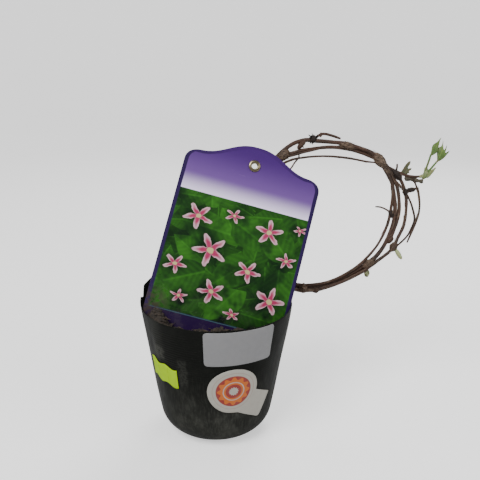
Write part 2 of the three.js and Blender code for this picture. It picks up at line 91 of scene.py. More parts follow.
# Slow waves of the film: depth, number round the pot, start. Dents: azimuth, height, half width in
# degrees, half height, and depth, below 0 where the film bulges.
FILM_WAVES = [(0.12, 3, 0.6), (0.08, 7, 2.1), (0.04, 13, 0)]
FILM_DENTS = [(-66, 52, 10, 16, 0.4), (66, 44, 11, 26, 0.6), (52, 30, 7, 20, 0.35),
              (150, 50, 20, 22, 0.9), (205, 38, 14, 18, 0.7), (88, 70, 30, 22, -0.8),
              (-53, 66, 3, 11, -0.35)]
SOIL_LEVEL, CHIPS_PER_CRUMB = 66.5, 0.09
SOIL_HEAP = {"x": -35.5, "y": -15, "height": 14.5, "spread": 7.5}
TAG_CENTRE, TAG_LEAN, TAG_ROLL, TAG_TURN = (7.8, 2.2, 104), 20, 16, 3
TAG_THICKNESS, TAG_HOLE, TAG_HOLE_RADIUS = 0.6, 60.3, 2.4
# The front half of the eyelet's section: radius and height off the tag's middle.
EYELET = [(1.75, 0.0), (1.72, 0.7), (1.85, 1.02), (2.1, 1.14), (2.6, 1.16), (3.15, 1.08),
          (3.5, 0.9), (3.6, 0.68), (3.5, 0.5), (2.6, 0.42), (2.15, 0.4)]
COIL_CENTRE, COIL_LEAN = (74.4, 36.7, 125), 14

# A stem is its radius, or its radii at both ends, the points that it passes in and above the
# ground (x, y, z), and those in the coil. A place in the coil is an angle in degrees, anticlockwise
# from the right, a distance from the centre and, where it isn't 0, a depth towards the front.
STEMS = {
    "leader": (1.15, [(10, 10, 50), (11, 12, 70), (15, 19, 92)], [
        (197, 51, 1), (172, 49, 2), (148, 50, 2), (130, 51.5), (118, 52.2), (109, 51.2),
        (100, 48.6), (88, 47, 0.4), (78, 47.1, 0.6), (68, 47, 0.8), (58, 48, 0.8), (50, 48.1),
        (42, 46.5), (35, 45.6), (28, 45), (21, 43.9), (14, 42.9), (6, 42.2), (0, 41.5),
        (354, 41.3), (346, 40.5), (338, 40.1), (330, 40.1), (318, 40), (308, 39.6, -0.7),
        (299, 39.8, -0.9), (290, 40.6, -0.9), (281, 42, -1.1), (272, 43.7, -1.1), (264, 45.8, -1),
        (256, 48.3, -0.9), (248, 50.6, -0.9), (240, 52.2, -1.4)]),
    "second_turn": (1.05, [], [
        (244, 51.4, -1.2), (228, 51, -3), (208, 48.6, -3), (186, 47.6, -2.8), (164, 47.4, -2.6),
        (144, 48, -2), (130, 48.4, -0.8), (119, 46.6, -0.8), (108, 44.8, -0.8), (90, 44, -0.8),
        (76, 44.3, -0.8), (64, 45.3, -0.8), (54, 46.5, -0.8), (46, 48.3, -0.8), (40, 48.2, 0.4),
        (35, 47.6, 0.4), (30, 47.1, 0.2), (25, 47.2), (16, 46.1), (4, 44.8), (355, 43.6),
        (347, 42.4), (341, 42), (337, 41)]),
    "inner_turn": ((0.82, 0.52), [], [
        (27, 44.2, 0.6), (18, 42.2, 0.4), (8, 39.8), (354, 37.8), (340, 36.6), (328, 36.2),
        (320, 36.1, 0.2), (312, 36.2, 0.6), (304, 36.8, 0.9), (296, 37.6, 1.1), (288, 38.5, 1.2),
        (280, 40.1, 1.2), (272, 42, 1.3), (264, 44.1, 1.4), (256, 46.3, 1.6), (248, 48.7, 1.6),
        (240, 50.4, 1.6), (230, 49.6, 1.8), (220, 47.6, 2.2), (198, 44.4, 3.6), (176, 44, 4),
        (154, 45.4, 3.6), (138, 46, 2.2), (126, 43.8, 0.8), (114, 40.8), (98, 38.4), (82, 37.9),
        (68, 39.1), (57, 41.4), (49, 45)]),
    "climber": (0.92, [(14, 8, 50), (18, 10, 70), (30, 16.5, 84), (41, 21, 86)], [
        (243, 53.6, 1), (248, 52.6, 1.2), (254, 50.8, 1), (260, 49.1, 0.9), (268, 46.5, 1),
        (276, 44.6, 0.9), (284, 43.2, 0.9), (292, 42.2, 0.9), (300, 41.9, 1), (308, 42, 0.6),
        (316, 42.7), (323, 44), (333, 46.1), (341, 46.3), (351, 48), (1, 49.1), (12, 50.3),
        (20, 51), (27, 50.9), (34, 49.8, 0.3)]),
    "side_branch": (0.6, [], [
        (331, 46), (338, 49), (345, 52), (351, 53.6), (357, 54.9), (4, 53.8), (11, 52.4),
        (17, 50.8, 0.2), (23, 48.9, 0.3), (30, 47.5, 0.3)]),
    "loose_end": (0.6, [], [
        (340, 52.6, 1.6), (346, 53.3, 1.6), (354, 55.2, 1.5), (3, 57.8, 0.6), (12, 59.1), (19, 59),
        (25, 58.6)]),
    "shoot_stem": (0.85, [], [
        (44, 47.2), (37, 49.6), (31, 52.8), (27, 56.2), (24.4, 60), (23.3, 63.4)]),
    "short_cut": (0.6, [], [(96, 44, -0.6), (106, 43.4, 0.8), (116, 44.4, 0.8), (128, 47.2, 0.2)]),
    "dry_twig": (0.78, [], [(83, 49.6, 0.8), (89, 51.1, 0.6), (96, 52.6, 0.4), (102, 51)]),
    "tendril": (0.4, [], [
        (117, 46.2), (119.5, 42.8, 0.3), (125, 41.3, 0.6), (133, 39.8, 1), (141, 42.6, 1.8),
        (147, 46.2, 3)]),
    "dead_stalk": (0.6, [], [(1, 39.6), (5, 36.8, 0.2), (9, 32.6, 0.4), (10.5, 29.4, 0.6)]),
    "dead_bud_stalk": (0.75, [], [(15, 49.6), (16.5, 52.6), (18, 55), (17, 58.4)]),
    "stub": (0.6, [], [(33.6, 51), (35.4, 53), (37.4, 54.6, -0.2)]),
}
# A factor on the half length of every knot, and how much a knot tapers.
KNOT_STRETCH, KNOT_BLUNTNESS = 1.1, 0.62
# Swollen places: place in the coil, the way they run, half length and half thickness, and the tone
# of their bark from 0, black, through 0.5, brown, to 1, pale and peeling.
KNOTS = [
    ((249, 50.8, 0.6), 339, (2.4, 2.9), 1), ((258.5, 49.9, 0.4), 20, (2, 1.7), 0.45),
    ((307.5, 40, 0.2), 34, (4, 2.5), 0.9), ((338, 41.6), 62, (3.2, 2.1), 0.5),
    ((333, 46), 55, (3.4, 2.3), 0.62), ((1, 39.6), 95, (2.5, 1.8), 0.05),
    ((1.5, 41.9), 88, (2.3, 1.7), 0.2), ((48, 47.6), 130, (6, 3), 1),
    ((31, 50.4, 0.2), 130, (4.2, 2.3), 0.05), ((17.2, 50.9, 0.1), 100, (2.6, 1.6), 0.05),
    ((17.4, 55), 5, (2.9, 1.5), 0.1), ((77, 46.1, 0.2), 166, (5.4, 2.4), 0.95),
    ((113, 49.6, 0.1), 50, (3.6, 1.8), 0.35), ((129, 49.4), 45, (4.6, 3), 0.85),
    ((97.5, 52.2, 0.4), 80, (1.5, 0.9), 0.4), ((172, 48.8, 1.2), 80, (3.2, 2.4), 0.6),
    ((212, 49.6, -1.6), 122, (3, 2.2), 0.6),
]
# Dry leaves: place in the coil, the way they run, half length and half thickness.
DRY_SCRAPS = [((24.2, 57.4, -0.6), 350, (4, 1.8)), ((21.2, 61.6, -0.5), 350, (3.4, 1.4))]
TUFT = {"at": (103.5, 50.4), "radius": 1.9, "length": 2.6, "spikes": 60}

# Outlines: leaves and a bud's scale from the foot up, and a dry leaf from its middle.
SMALL_LEAF = [(0, -0.6), (0.7, 3.7), (1, 5.8), (2, 7.1), (3.9, 8.5), (6.2, 11.2), (5.4, 8.5),
              (4.9, 5.1), (4.3, 2), (2.3, 0.3)]
CUT_LEAF = [(-0.2, -0.6), (-0.7, 3.7), (-0.6, 6.5), (-0.3, 8.2), (2, 9.3), (3.3, 12.9), (3.2, 9.2),
            (3.9, 6.8), (5.6, 9.9), (5, 6.5), (4.6, 5), (7.2, 6.1), (5.2, 3.2), (2.9, 0.8)]
NARROW_LEAF = [(0, -0.8), (-0.9, 1.6), (-0.6, 4.6), (0.9, 8.6), (1.6, 5), (1.6, 1.6), (0.9, -0.4)]
BUD_LEAF = [(-1.6, -1), (-1.2, 1.8), (-0.6, 4.2), (0.8, 7.4), (2, 8.2), (2.3, 6.4), (1.7, 3.9),
            (2.6, 2.4), (1.8, 0.6), (1.2, -1)]
BUD_SCALE = [(-1.6, 0), (1.6, 0), (2.3, 3.4), (1.6, 7), (0, 9.6), (-1.6, 7), (-2.3, 3.4)]
SCRAP = [(-1.5, -4.8), (1.3, -4.6), (2.1, -1.5), (1.8, 1.6), (2.1, 3.4), (0.6, 4.8), (-1.6, 4),
         (-1.7, 1), (-2.2, -1.8)]
# The leaves of a piece: outline, factors on its width and length, its foot in the coil, spin, tilt,
# how far it is folded, how far its midrib leans, and how far its tip curls.
LEAVES = {
    "young_leaves": [(SMALL_LEAF, 1.14, 1, (31, 76, 0.4), 0, 4, 0.16, 0.45, 0.5),
                     (CUT_LEAF, 1, 1, (26.8, 79.2, -1), 0, -14, 0.22, 0.35, -0.6)],
    "young_sheaths": [(NARROW_LEAF, 1, 1, (21.6, 67.6, 0.6), -38, 10, 0.35, 0.1, 0.4),
                      (NARROW_LEAF, 0.8, 0.7, (22, 66.6, 0.9), 12, -10, 0.3, 0.1, 0.3)],
    "bud_leaf": [(BUD_LEAF, 1.05, 1, (30.2, 55.2, 0.3), -17, 6, 0.22, 0.2, 0.3),
                 (BUD_LEAF, 0.8, 0.55, (29.4, 55.8, 0.9), -34, -10, 0.3, 0.2, 0.4)],
}
LEAF_STALKS = [[(23, 66.4), (25, 68.2, 0.4), (28, 72, 0.6), (31, 76.3, 0.4)],
               [(23, 67), (24.6, 72, -0.4), (26.2, 77, -0.8), (26.9, 79.6, -1)]]

# Labels on the pot: azimuth and height of their middle, and their loose corner, as factors on a
# place's x and y, between which values of their sum it lifts, and how far.
NAME_LABEL = {"azimuth": 17.7, "z": 68.4, "width": 40.8, "height": 21.2, "corner": 2.2,
              "loose": (1, -1, 22, 32, 0.25)}
ROUND_LABEL = {"azimuth": 13.8, "z": 40.5, "radius": 14.6, "loose": (1, -1, 34, 44, 0.25)}
LABEL_THICKNESS, LABEL_OFF = 0.2, 0.3
# The tab at the disc's lower right, from where it leaves the disc to where it meets it again.
ROUND_LABEL_TAB = [(3.5, -15), (17.6, -21.9), (18.9, -22.2), (20, -21.7), (20.8, -20.6),
                   (27.1, -9.2), (27.3, -8.6), (27, -8.2), (14.4, -1.95)]
PRICE_LABEL = {"azimuth": -49, "z": 46.7, "width": 22, "height": 12, "wave": 0.75,
               "slope": -0.09, "loose": (-1, 0, 8, 12, 0.2)}

# The tag's printed picture: edges of the picture and of the bands around it, on the tag.
PICTURE = {"left": -39.9, "right": 40.1, "low": -36.3, "high": 36.3}
# Star blossoms of the picture: place on the tag, radius, turn, how much they are foreshortened.
BLOSSOMS = [
    (-25, 22, 9.5, 0.3, 0.85), (-4, 27.5, 6.2, 1.2, 0.7), (19, 23, 9, 2.1, 0.9),
    (33, 9, 6.4, 0.7, 0.75), (-13, 4, 11, 1.7, 0.95), (12, -3, 8.4, 0.1, 0.8),
    (-31, -9, 7.6, 2.6, 0.8), (29, -17, 9.6, 1.1, 0.9), (-6, -20, 8.8, 0.5, 0.85),
    (9, -30, 5.2, 1.9, 0.7), (-24, -27, 5.6, 0.9, 0.75), (37, 29, 4.6, 0.4, 0.7)]
# Layers of printed leaves: size, offset, slimness, and the lightness of their dark and light parts.
LEAF_LAYERS = [(12, (3.1, 8.4), 0.4, 0.2, 0.35), (16, (57.3, 21.7), 0.42, 0.35, 0.55),
               (21, (31.9, 77.1), 0.4, 0.45, 0.8), (27, (93.2, 45.6), 0.36, 0.5, 1.0)]

# The floor's section: distance from the middle, height.
FLOOR = [(0.001, 0), (300, 0), (900, 0), (1500, 0), (1900, 40), (2200, 190), (2400, 480),
         (2450, 1000)]
# Lights and camera, in metres. A light: place, size, and power as a share of the key light's.
LIGHTS = {"key": ((-0.55, -0.75, 1.15), 0.7, 1), "fill": ((0.95, -0.55, 0.6), 0.7, 0.25),
          "back": ((0.35, 0.85, 0.9), 0.6, 0.4)}
LIT_PLACE = (0.04, 0, 0.08)
CAMERA_PLACE = (0, -0.34091, 0.20984)
CAMERA_RIGHT, CAMERA_BACK = (0.9992, -0.0386, 0.0084), (-0.0395, -0.9649, 0.2595)


# ---------------------------------------------------------------- settings a user would change
def colour(name, description, value):
    return FloatVectorProperty(name=name, description=description, subtype="COLOR", size=3,
                               min=0, max=1, default=value)


def length(name, description, value):
    return FloatProperty(name=name, description=description, unit="LENGTH", subtype="DISTANCE",
                         min=0, default=value, precision=5)


def share(name, description, value):
    return FloatProperty(name=name, description=description, subtype="FACTOR", min=0, max=1,
                         default=value)


def count(name, description, value):
    return IntProperty(name=name, description=description, min=0, default=value)


class PlantPotSettings(bpy.types.PropertyGroup):
    film: colour("Film", "Colour of the pot's black film", (0.0052, 0.0056, 0.0048))
    # The dust colour is also the colour of the painted highlight down the film's left, and of its
    # paler tone low on the front.
    dust: colour("Dust", "Colour of the dust and dried water on the film", (0.06, 0.061, 0.053))
    dustiness: share("Dustiness", "How much dust lies on the film", 0.42)
    rib_pitch: length("Rib pitch", "Height of one moulded rib", 1.5 * MM)
    rib_depth: length("Rib depth", "Depth of the groove between two ribs", 0.15 * MM)


class PlantSoilSettings(bpy.types.PropertyGroup):
    dark: colour("Damp soil", "Colour of the soil's hollows", (0.009, 0.0062, 0.0045))
    light: colour("Dry soil", "Colour of the soil's dry crumbs", (0.024, 0.017, 0.0115))
    fibre: colour("Fibre", "Colour of the fibres and chips", (0.06, 0.04, 0.025))
    crumbs: count("Crumbs", "Crumbs on each square centimetre", 34)
    fibres: count("Fibres", "Fibres on each square centimetre", 7)
    seed: count("Seed", "Seed of everything that is scattered", 7)


class PlantTagSettings(bpy.types.PropertyGroup):
    border: colour("Border", "Colour of the printed border", (0.037, 0.011, 0.094))
    lilac: colour("Lilac", "Middle of the fading header", (0.13, 0.065, 0.235))
    foliage: colour("Foliage", "Light green of the printed leaves", (0.034, 0.16, 0.014))
    shadow: colour("Shadow", "Dark green between the printed leaves", (0.0012, 0.006, 0.003))
    petal: colour("Petals", "Pink of the printed blossoms", (0.3, 0.03, 0.085))
    card: colour("Card", "Colour of the bare plastic card", (0.5, 0.5, 0.49))


class PlantLabelSettings(bpy.types.PropertyGroup):
    paper: colour("Name label", "Colour of the bare paper label", (0.182, 0.182, 0.187))
    white: colour("Round label", "Ground colour of the round label", (0.32, 0.305, 0.268))
    red: colour("Red", "Red of the round label's emblem", (0.21, 0.022, 0.016))
    orange: colour("Orange", "Orange of the round label's emblem", (0.42, 0.1, 0.01))
    price: colour("Price label", "Colour of the waved label", (0.31, 0.5, 0.0))


class PlantVineSettings(bpy.types.PropertyGroup):
    bark: colour("Bark", "Colour of the stems", (0.042, 0.026, 0.018))
    groove: colour("Grooves", "Colour between the ridges of the bark", (0.009, 0.0055, 0.004))
    peel: colour("Peeling bark", "Colour of nodes and loose strips", (0.2, 0.145, 0.1))
    ridges: count("Ridges", "Ridges round a stem", 6)
    ridge_depth: share("Ridge depth", "Depth of the ridges, as a share of the radius", 0.13)
    strips: count("Strips", "Loose strips of bark along the stems", 190)
    seed: count("Seed", "Seed of the loose bark", 11)


class PlantGrowthSettings(bpy.types.PropertyGroup):
    leaf: colour("Leaf", "Fresh green of the young leaves", (0.05, 0.095, 0.015))
    tip: colour("Leaf tip", "Paler green towards the tips", (0.1, 0.16, 0.03))
    bud: colour("Bud", "Olive green of the closed buds", (0.045, 0.048, 0.02))
    pale: colour("Pale bud", "Cream green of the pale bud", (0.27, 0.29, 0.14))
    hair: length("Hair", "Length of the hairs on young growth", 0.45 * MM)


class PlantStageSettings(bpy.types.PropertyGroup):
    floor: colour("Floor", "Colour of the floor", (0.6, 0.6, 0.6))
    key: FloatProperty(name="Key light", description="Power of the large soft light", unit="POWER",
                       default=27, min=0)
    sky: share("Sky", "Strength of the even light from all sides", 0.4)


SETTINGS = {
    "plant_pot": PlantPotSettings, "plant_soil": PlantSoilSettings, "plant_tag": PlantTagSettings,
    "plant_labels": PlantLabelSettings, "plant_vine": PlantVineSettings,
    "plant_growth": PlantGrowthSettings, "plant_stage": PlantStageSettings,
}


# ---------------------------------------------------------------- node trees, in short calls
class Wire:
    """A value inside a node tree. Arithmetic on wires adds Math nodes to the tree."""

    def __init__(self, tree, socket):
        self.tree, self.socket = tree, socket

    def math(self, operation, *others, kind="ShaderNodeMath", **settings):
        feeds = dict(enumerate((self, *others)))
        return put(self.tree, kind, feeds, operation=operation, **settings)

    vectors = partialmethod(math, kind="ShaderNodeVectorMath")
    __add__ = __radd__ = partialmethod(math, "ADD")
    __sub__ = partialmethod(math, "SUBTRACT")
    __mul__ = __rmul__ = partialmethod(math, "MULTIPLY")
    __truediv__ = partialmethod(math, "DIVIDE")
    __neg__ = partialmethod(math, "MULTIPLY", -1)
    __abs__ = partialmethod(math, "ABSOLUTE")

    def __rsub__(self, other):
        return -self + other


def put(tree, kind, feeds=None, out=0, **settings):
    """Adds a node, sets it up, feeds its inputs, and returns one of its outputs as a wire."""
    return wires(tree, kind, feeds, **settings)[out]


def wires(tree, kind, feeds=None, **settings):
    """Adds a node as `put` does, and returns its outputs by number and by name."""
    node = tree.nodes.new(kind)
    for name, value in settings.items():
        setattr(node, name, value)
    for key, value in (feeds or {}).items():
        feed(tree, node, key, value)
    shown = [socket for socket in node.outputs if socket.enabled]
    found = {socket.name: Wire(tree, socket) for socket in reversed(shown)}
    found.update({i: Wire(tree, socket) for i, socket in enumerate(shown)})
    return found


def feed(tree, node, key, value):
    """Links a wire to an input of a node, or sets the input's value."""
    shown = [socket for socket in node.inputs if socket.enabled]
    if isinstance(key, int):
        socket = shown[key]
    else:
        socket = next(s for s in shown if key in (s.name, s.identifier))
    if isinstance(value, Wire):
        tree.links.new(value.socket, socket)
    elif socket.type == "RGBA":
        socket.default_value = (*value, 1)
    else:
        socket.default_value = value


def rise(value, low, high):
    """0 where the value is at `low`, 1 at `high`, smooth between; `low` may be the larger."""
    feeds = {"Value": value, "From Min": low, "From Max": high}
    return put(value.tree, "ShaderNodeMapRange", feeds, interpolation_type="SMOOTHSTEP")


def within(value, low, high, soft=0.15):
    return rise(value, low - soft, low + soft) * rise(value, high + soft, high - soft)


def mix(factor, first, second):
    """The first colour where the factor is 0, the second where it is 1."""
    feeds = {"Factor": factor, "A": first, "B": second}
    tree = next(w.tree for w in (factor, first, second) if isinstance(w, Wire))
    return put(tree, "ShaderNodeMix", feeds, data_type="RGBA")


def tinted(plain, *factors):
    """A plain colour times one factor, or times one for each channel, up to white."""
    return tuple(min(1, c * f) for c, f in zip(plain, factors * (3 // len(factors))))


def blended(share, first, second):
    """The plain colour that is a share of the way from the first colour to the second."""
    return tuple(a + (b - a) * share for a, b in zip(first, second))


def vector(tree, x=0.0, y=0.0, z=0.0):
    return put(tree, "ShaderNodeCombineXYZ", {"X": x, "Y": y, "Z": z})


def split(wire):
    parts = wires(wire.tree, "ShaderNodeSeparateXYZ", {0: wire})
    return parts["X"], parts["Y"], parts["Z"]


def away_from_middle(x, y):
    return (x * x + y * y).math("SQRT")


def cloud(wire, scale, detail=3.0, roughness=0.5, distortion=0.0, out=0):
    """Fractal noise over a vector, from 0 to 1."""
    feeds = {"Vector": wire, "Scale": scale, "Detail": detail, "Roughness": roughness,
             "Distortion": distortion}
    return put(wire.tree, "ShaderNodeTexNoise", feeds, out)


def stretched(wire, x, y, z):
    return wire.vectors("MULTIPLY", (x, y, z))


SOCKETS = {float: "Float", int: "Int", tuple: "Color", "RGBA": "Color", "GEOMETRY": "Geometry"}


def new_tree(name, kind, inputs):
    """A node tree and wires from its inputs, each given by its default or, if none, its kind."""
    tree = bpy.data.node_groups.new(name, kind)
    for title, value in inputs.items():
        sort = value if isinstance(value, str) else SOCKETS[type(value)]
        socket = tree.interface.new_socket(title, in_out="INPUT", socket_type="NodeSocket" + sort)
        if sort != value:
            socket.default_value = (*value, 1) if sort == "Color" else value
    source = tree.nodes.new("NodeGroupInput")
    return tree, {title: Wire(tree, source.outputs[title]) for title in inputs}


def end_tree(tree, outputs):
    """Gives a node tree its outputs, by name and wire."""
    for title, wire in outputs.items():
        sort = SOCKETS.get(wire.socket.type, "Float")
        tree.interface.new_socket(title, in_out="OUTPUT", socket_type="NodeSocket" + sort)
    sink = tree.nodes.new("NodeGroupOutput")
    for title, wire in outputs.items():
        feed(tree, sink, title, wire)
    return tree


def shared(**inputs):
    """Turns a function into a shader node group, which is built when it is first used.

    The function takes the group's inputs as wires and returns its outputs by name. What replaces
    it takes feeds for the inputs, places the group beside the "Vector" feed, and returns wires
    from its outputs.
    """
    def turn(build):
        def place(**feeds):
            group = bpy.data.node_groups.get(build.__name__)
            if not group:
                group, ins = new_tree(build.__name__, "ShaderNodeTree", inputs)
                end_tree(group, build(ins))
            return wires(feeds["Vector"].tree, "ShaderNodeGroup", feeds, node_tree=group)
        return place
    return turn


@shared(Vector="Vector", Ground=(0.5, 0.5, 0.5), Dust=(0.3, 0.28, 0.25), Amount=0.3, Scale=90.0)
def weathering(ins):
    """Shared group: dust that lies on upward faces and in drifts, over any ground colour."""
    place, scale = ins["Vector"], ins["Scale"]
    _, _, up = split(put(place.tree, "ShaderNodeNewGeometry", out="Normal"))
    drift = rise(cloud(place, scale, 6, 0.62), 0.42, 0.72)
    specks = rise(cloud(place, scale * 14, 2), 0.6, 0.72)
    dust = drift * 0.75 + specks * 0.35 + rise(up, 0.3, 1) * 0.3
    mask = dust.math("MULTIPLY", ins["Amount"], use_clamp=True)
    return {"Color": mix(mask, ins["Ground"], ins["Dust"]), "Mask": mask}


@shared(Vector="Vector", Scale=2000.0)
def grain(ins):
    """Shared group: fine grain as a height, and slow mottling as a mask."""
    place, scale = ins["Vector"], ins["Scale"]
    return {"Height": cloud(place, scale, 3, 0.6),
            "Mottle": rise(cloud(place, scale * 0.06, 4, 0.55), 0.3, 0.7)}


def new_material(name):
    """A wire from the Object coordinates of a new material, and the function that finishes it."""
    made = bpy.data.materials.new(name)
    made.use_nodes = True
    tree = made.node_tree

    def finish(base, roughness, height=None, depth=0.1, strength=0.6, **others):
        """Feeds the shader, the height through a Bump node with its depth in mm."""
        others.update({"Base Color": base, "Roughness": roughness})
        if height is not None:
            others["Normal"] = put(tree, "ShaderNodeBump", {
                "Strength": strength, "Distance": depth * MM, "Height": height})
        for key, value in others.items():
            feed(tree, tree.nodes["Principled BSDF"], key.replace("_", " "), value)
        return made

    return put(tree, "ShaderNodeTexCoord", out="Object"), finish


def attribute(tree, name, out="Vector"):
    return put(tree, "ShaderNodeAttribute", out=out, attribute_name=name)


# ---------------------------------------------------------------- meshes
def smooth(value, low, high):
    t = min(1.0, max(0.0, (value - low) / (high - low)))
    return t * t * (3 - 2 * t)


def add_piece(name, mesh, slot, materials=(), replaces=(), sharp=None):
    """Links a finished mesh as a piece of the plant that rides on its body."""
    for made in materials:
        mesh.materials.append(made)
    mesh.shade_smooth()
    if sharp is not None:
        mesh.set_sharp_from_angle(angle=math.radians(sharp))
    piece = bpy.data.objects.new(name, mesh)
    bpy.context.scene.collection.objects.link(piece)
    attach(piece, BODY)
    if replaces:
        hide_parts(*replaces)


def new_mesh(name, points, faces, **attributes):
    """A mesh in metres from points in millimetres, with float or vector values at its points."""
    mesh = bpy.data.meshes.new(name)
    mesh.from_pydata([Vector(p) * MM for p in points], [], faces)
    for key, values in attributes.items():
        store(mesh, key, values)
    return mesh


def store(mesh, key, values):
    flat = np.asarray(values, np.float32)
    sort, field = ("FLOAT", "value") if flat.ndim == 1 else ("FLOAT_VECTOR", "vector")
    mesh.attributes.new(key, sort, "POINT").data.foreach_set(field, flat.ravel())


def joined(name, meshes):
    """Several meshes as one, with their float and vector attributes kept."""
    batch = bmesh.new()
    for mesh in meshes:
        batch.from_mesh(mesh)
        bpy.data.meshes.remove(mesh)
    made = bpy.data.meshes.new(name)
    batch.to_mesh(made)
    batch.free()
    return made


def ring_faces(rings, sides):
    """Quads between `rings` rings of points, each of `sides` points, stored one after the other."""
    faces = []
    for ring in range(rings - 1):
        for i in range(sides):
            a, b = ring * sides + i, ring * sides + (i + 1) % sides
            faces.append((a, b, b + sides, a + sides))
    return faces


def moved_on(faces, first, order=1):
    """Faces whose points are numbered from `first` on, turned over where the order is -1."""
    return [tuple(first + i for i in face[::order]) for face in faces]


def is_inside(points, loops):
    """Which of the points lie inside a closed loop and outside its holes, by counting crossings."""
    x, y = points[:, 0], points[:, 1]
    inside = np.zeros(len(points), bool)
    for loop in loops:
        for (x1, y1), (x2, y2) in zip(loop, loop[1:] + loop[:1]):
            if y1 != y2:
                crossing = (y1 > y) != (y2 > y)
                inside ^= crossing & (x < (x2 - x1) * (y - y1) / (y2 - y1) + x1)
    return inside


def filled(loops, spacing):
    """Points and triangles that fill a flat outline, the first loop, apart from its holes."""
    edges, points = [], []
    for loop in loops:
        first, sides = len(points), len(loop)
        points += loop
        edges += [(first + i, first + (i + 1) % sides) for i in range(sides)]
    rim = np.array(points)
    across, up = (np.arange(low + spacing / 2, high, spacing)
                  for low, high in zip(rim.min(0), rim.max(0)))
    grid = np.array([(x + (j % 2) * spacing / 2, y) for j, y in enumerate(up) for x in across])
    grid = grid.reshape(-1, 2)
    grid = grid[is_inside(grid, loops)]
    to_rim = np.sqrt(((grid[:, None, :] - rim[None, :, :]) ** 2).sum(2)).min(1)
    points += list(grid[to_rim > 0.55 * spacing])
    corners, _, triangles, *_ = delaunay_2d_cdt([Vector(p) for p in points], edges, [], 0, 1e-7)
    flat = np.array([(c.x, c.y) for c in corners])
    middles = np.array([flat[list(t)].mean(0) for t in triangles])
    return flat, [t for t, ok in zip(triangles, is_inside(middles, loops)) if ok]


def inset(loop, distance):
    """The loop moved to its left by the distance: inwards when it runs anticlockwise."""
    moved = []
    for (x0, y0), (x1, y1), (x2, y2) in zip(loop[-1:] + loop[:-1], loop, loop[1:] + loop[:1]):
        before = Vector((x1 - x0, y1 - y0)).normalized()
        after = Vector((x2 - x1, y2 - y1)).normalized()
        side = Vector((-before.y - after.y, before.x + after.x))
        side = side.normalized() if side.length > 1e-6 else Vector((-before.y, before.x))
        moved.append((x1 + side.x * distance, y1 + side.y * distance))
    return moved


# A sheet's rounded rim: how far in it starts, as a share of the thickness; its shoulder's distance
# in, as a share of that; and its shoulder's height, as a share of the half thickness.
RIM_IN, SHOULDER_IN, SHOULDER_UP = 0.4, 0.3, 0.72
# Points closer than this are one, in mm: on a sheet, and on any other closed mesh.
SHEET_MERGE, MERGE = 0.004, 0.002


def sheet(name, loops, thickness, spacing, place, front=0.4):
    """A closed thin sheet with rounded edges. Outline anticlockwise, holes clockwise.

    `place(x, y, h)` puts a point of the flat sheet, h off its middle, in the frame. The mesh keeps
    that flat place as the attribute "sheet". A face gets material 0 if all of it is more than the
    share `front` of the half thickness in front of the middle, and material 1 otherwise.
    """
    half, edge = thickness / 2, thickness * RIM_IN
    inner = [inset(loop, edge) for loop in loops]
    flat, triangles = filled(inner, spacing)
    points = [(x, y, h) for h in (half, -half) for x, y in flat]
    faces = moved_on(triangles, 0) + moved_on(triangles, len(flat), -1)
    for outer, near in zip(loops, inner):
        first, shoulder = len(points), inset(outer, edge * SHOULDER_IN)
        rounded = ((near, 1), (shoulder, SHOULDER_UP), (outer, 0), (shoulder, -SHOULDER_UP),
                   (near, -1))
        points += [(x, y, share * half) for ring, share in rounded for x, y in ring]
        faces += moved_on(ring_faces(len(rounded), len(outer)), first, -1)
    batch = bmesh.new()
    keep = batch.verts.layers.float_vector.new("sheet")
    corners = []
    for point in points:
        corners.append(batch.verts.new(Vector(place(*point)) * MM))
        corners[-1][keep] = point
    for face in faces:
        try:
            batch.faces.new([corners[i] for i in face])
        except ValueError:
            continue
    bmesh.ops.remove_doubles(batch, verts=batch.verts, dist=SHEET_MERGE * MM)
    for face in batch.faces:
        face.material_index = int(min(corner[keep].z for corner in face.verts) <= front * half)
    mesh = bpy.data.meshes.new(name)
    batch.to_mesh(mesh)
    batch.free()
    return mesh


def turned(name, profile, sides, place, closed=True):
    """A profile of (radius, height) turned about an axis; `place(x, y, h)` puts it in the frame."""
    points = []
    for radius, height in profile:
        for i in range(sides):
            angle = i / sides * 2 * math.pi
            points.append(place(radius * math.cos(angle), radius * math.sin(angle), height))
    faces = ring_faces(len(profile), sides)
    if closed:
        last = (len(profile) - 1) * sides
        faces += [(last + i, last + (i + 1) % sides, (i + 1) % sides, i) for i in range(sides)]
    return new_mesh(name, points, faces)


def outward(mesh):
    """Turns every face of a closed mesh outwards, after its doubles are merged."""
    batch = bmesh.new()
    batch.from_mesh(mesh)
    bmesh.ops.remove_doubles(batch, verts=batch.verts, dist=MERGE * MM)
    bmesh.ops.recalc_face_normals(batch, faces=batch.faces)
    batch.to_mesh(mesh)
    batch.free()
    return mesh


def smooth_path(points, step):
    """Places every `step` or so along a centripetal Catmull-Rom curve through the points."""
    points = [Vector(p) for p in points]
    ring = [points[0] * 2 - points[1], *points, points[-1] * 2 - points[-2]]
    path = []
    for before, start, end, after in zip(ring, ring[1:], ring[2:], ring[3:]):
        sides = ((before, start), (start, end), (end, after))
        d0, d1, d2 = ((b - a).length ** 0.5 for a, b in sides)
        leave = ((start - before) / d0 - (end - before) / (d0 + d1) + (end - start) / d1) * d1
        arrive = ((end - start) / d1 - (after - start) / (d1 + d2) + (after - end) / d2) * d1
        pieces = max(1, round((end - start).length / step))
        for i in range(pieces):
            t = i / pieces
            path.append(start * (2 * t ** 3 - 3 * t ** 2 + 1) + leave * (t ** 3 - 2 * t ** 2 + t)
                        + end * (3 * t ** 2 - 2 * t ** 3) + arrive * (t ** 3 - t ** 2))
    path.append(points[-1])
    return path


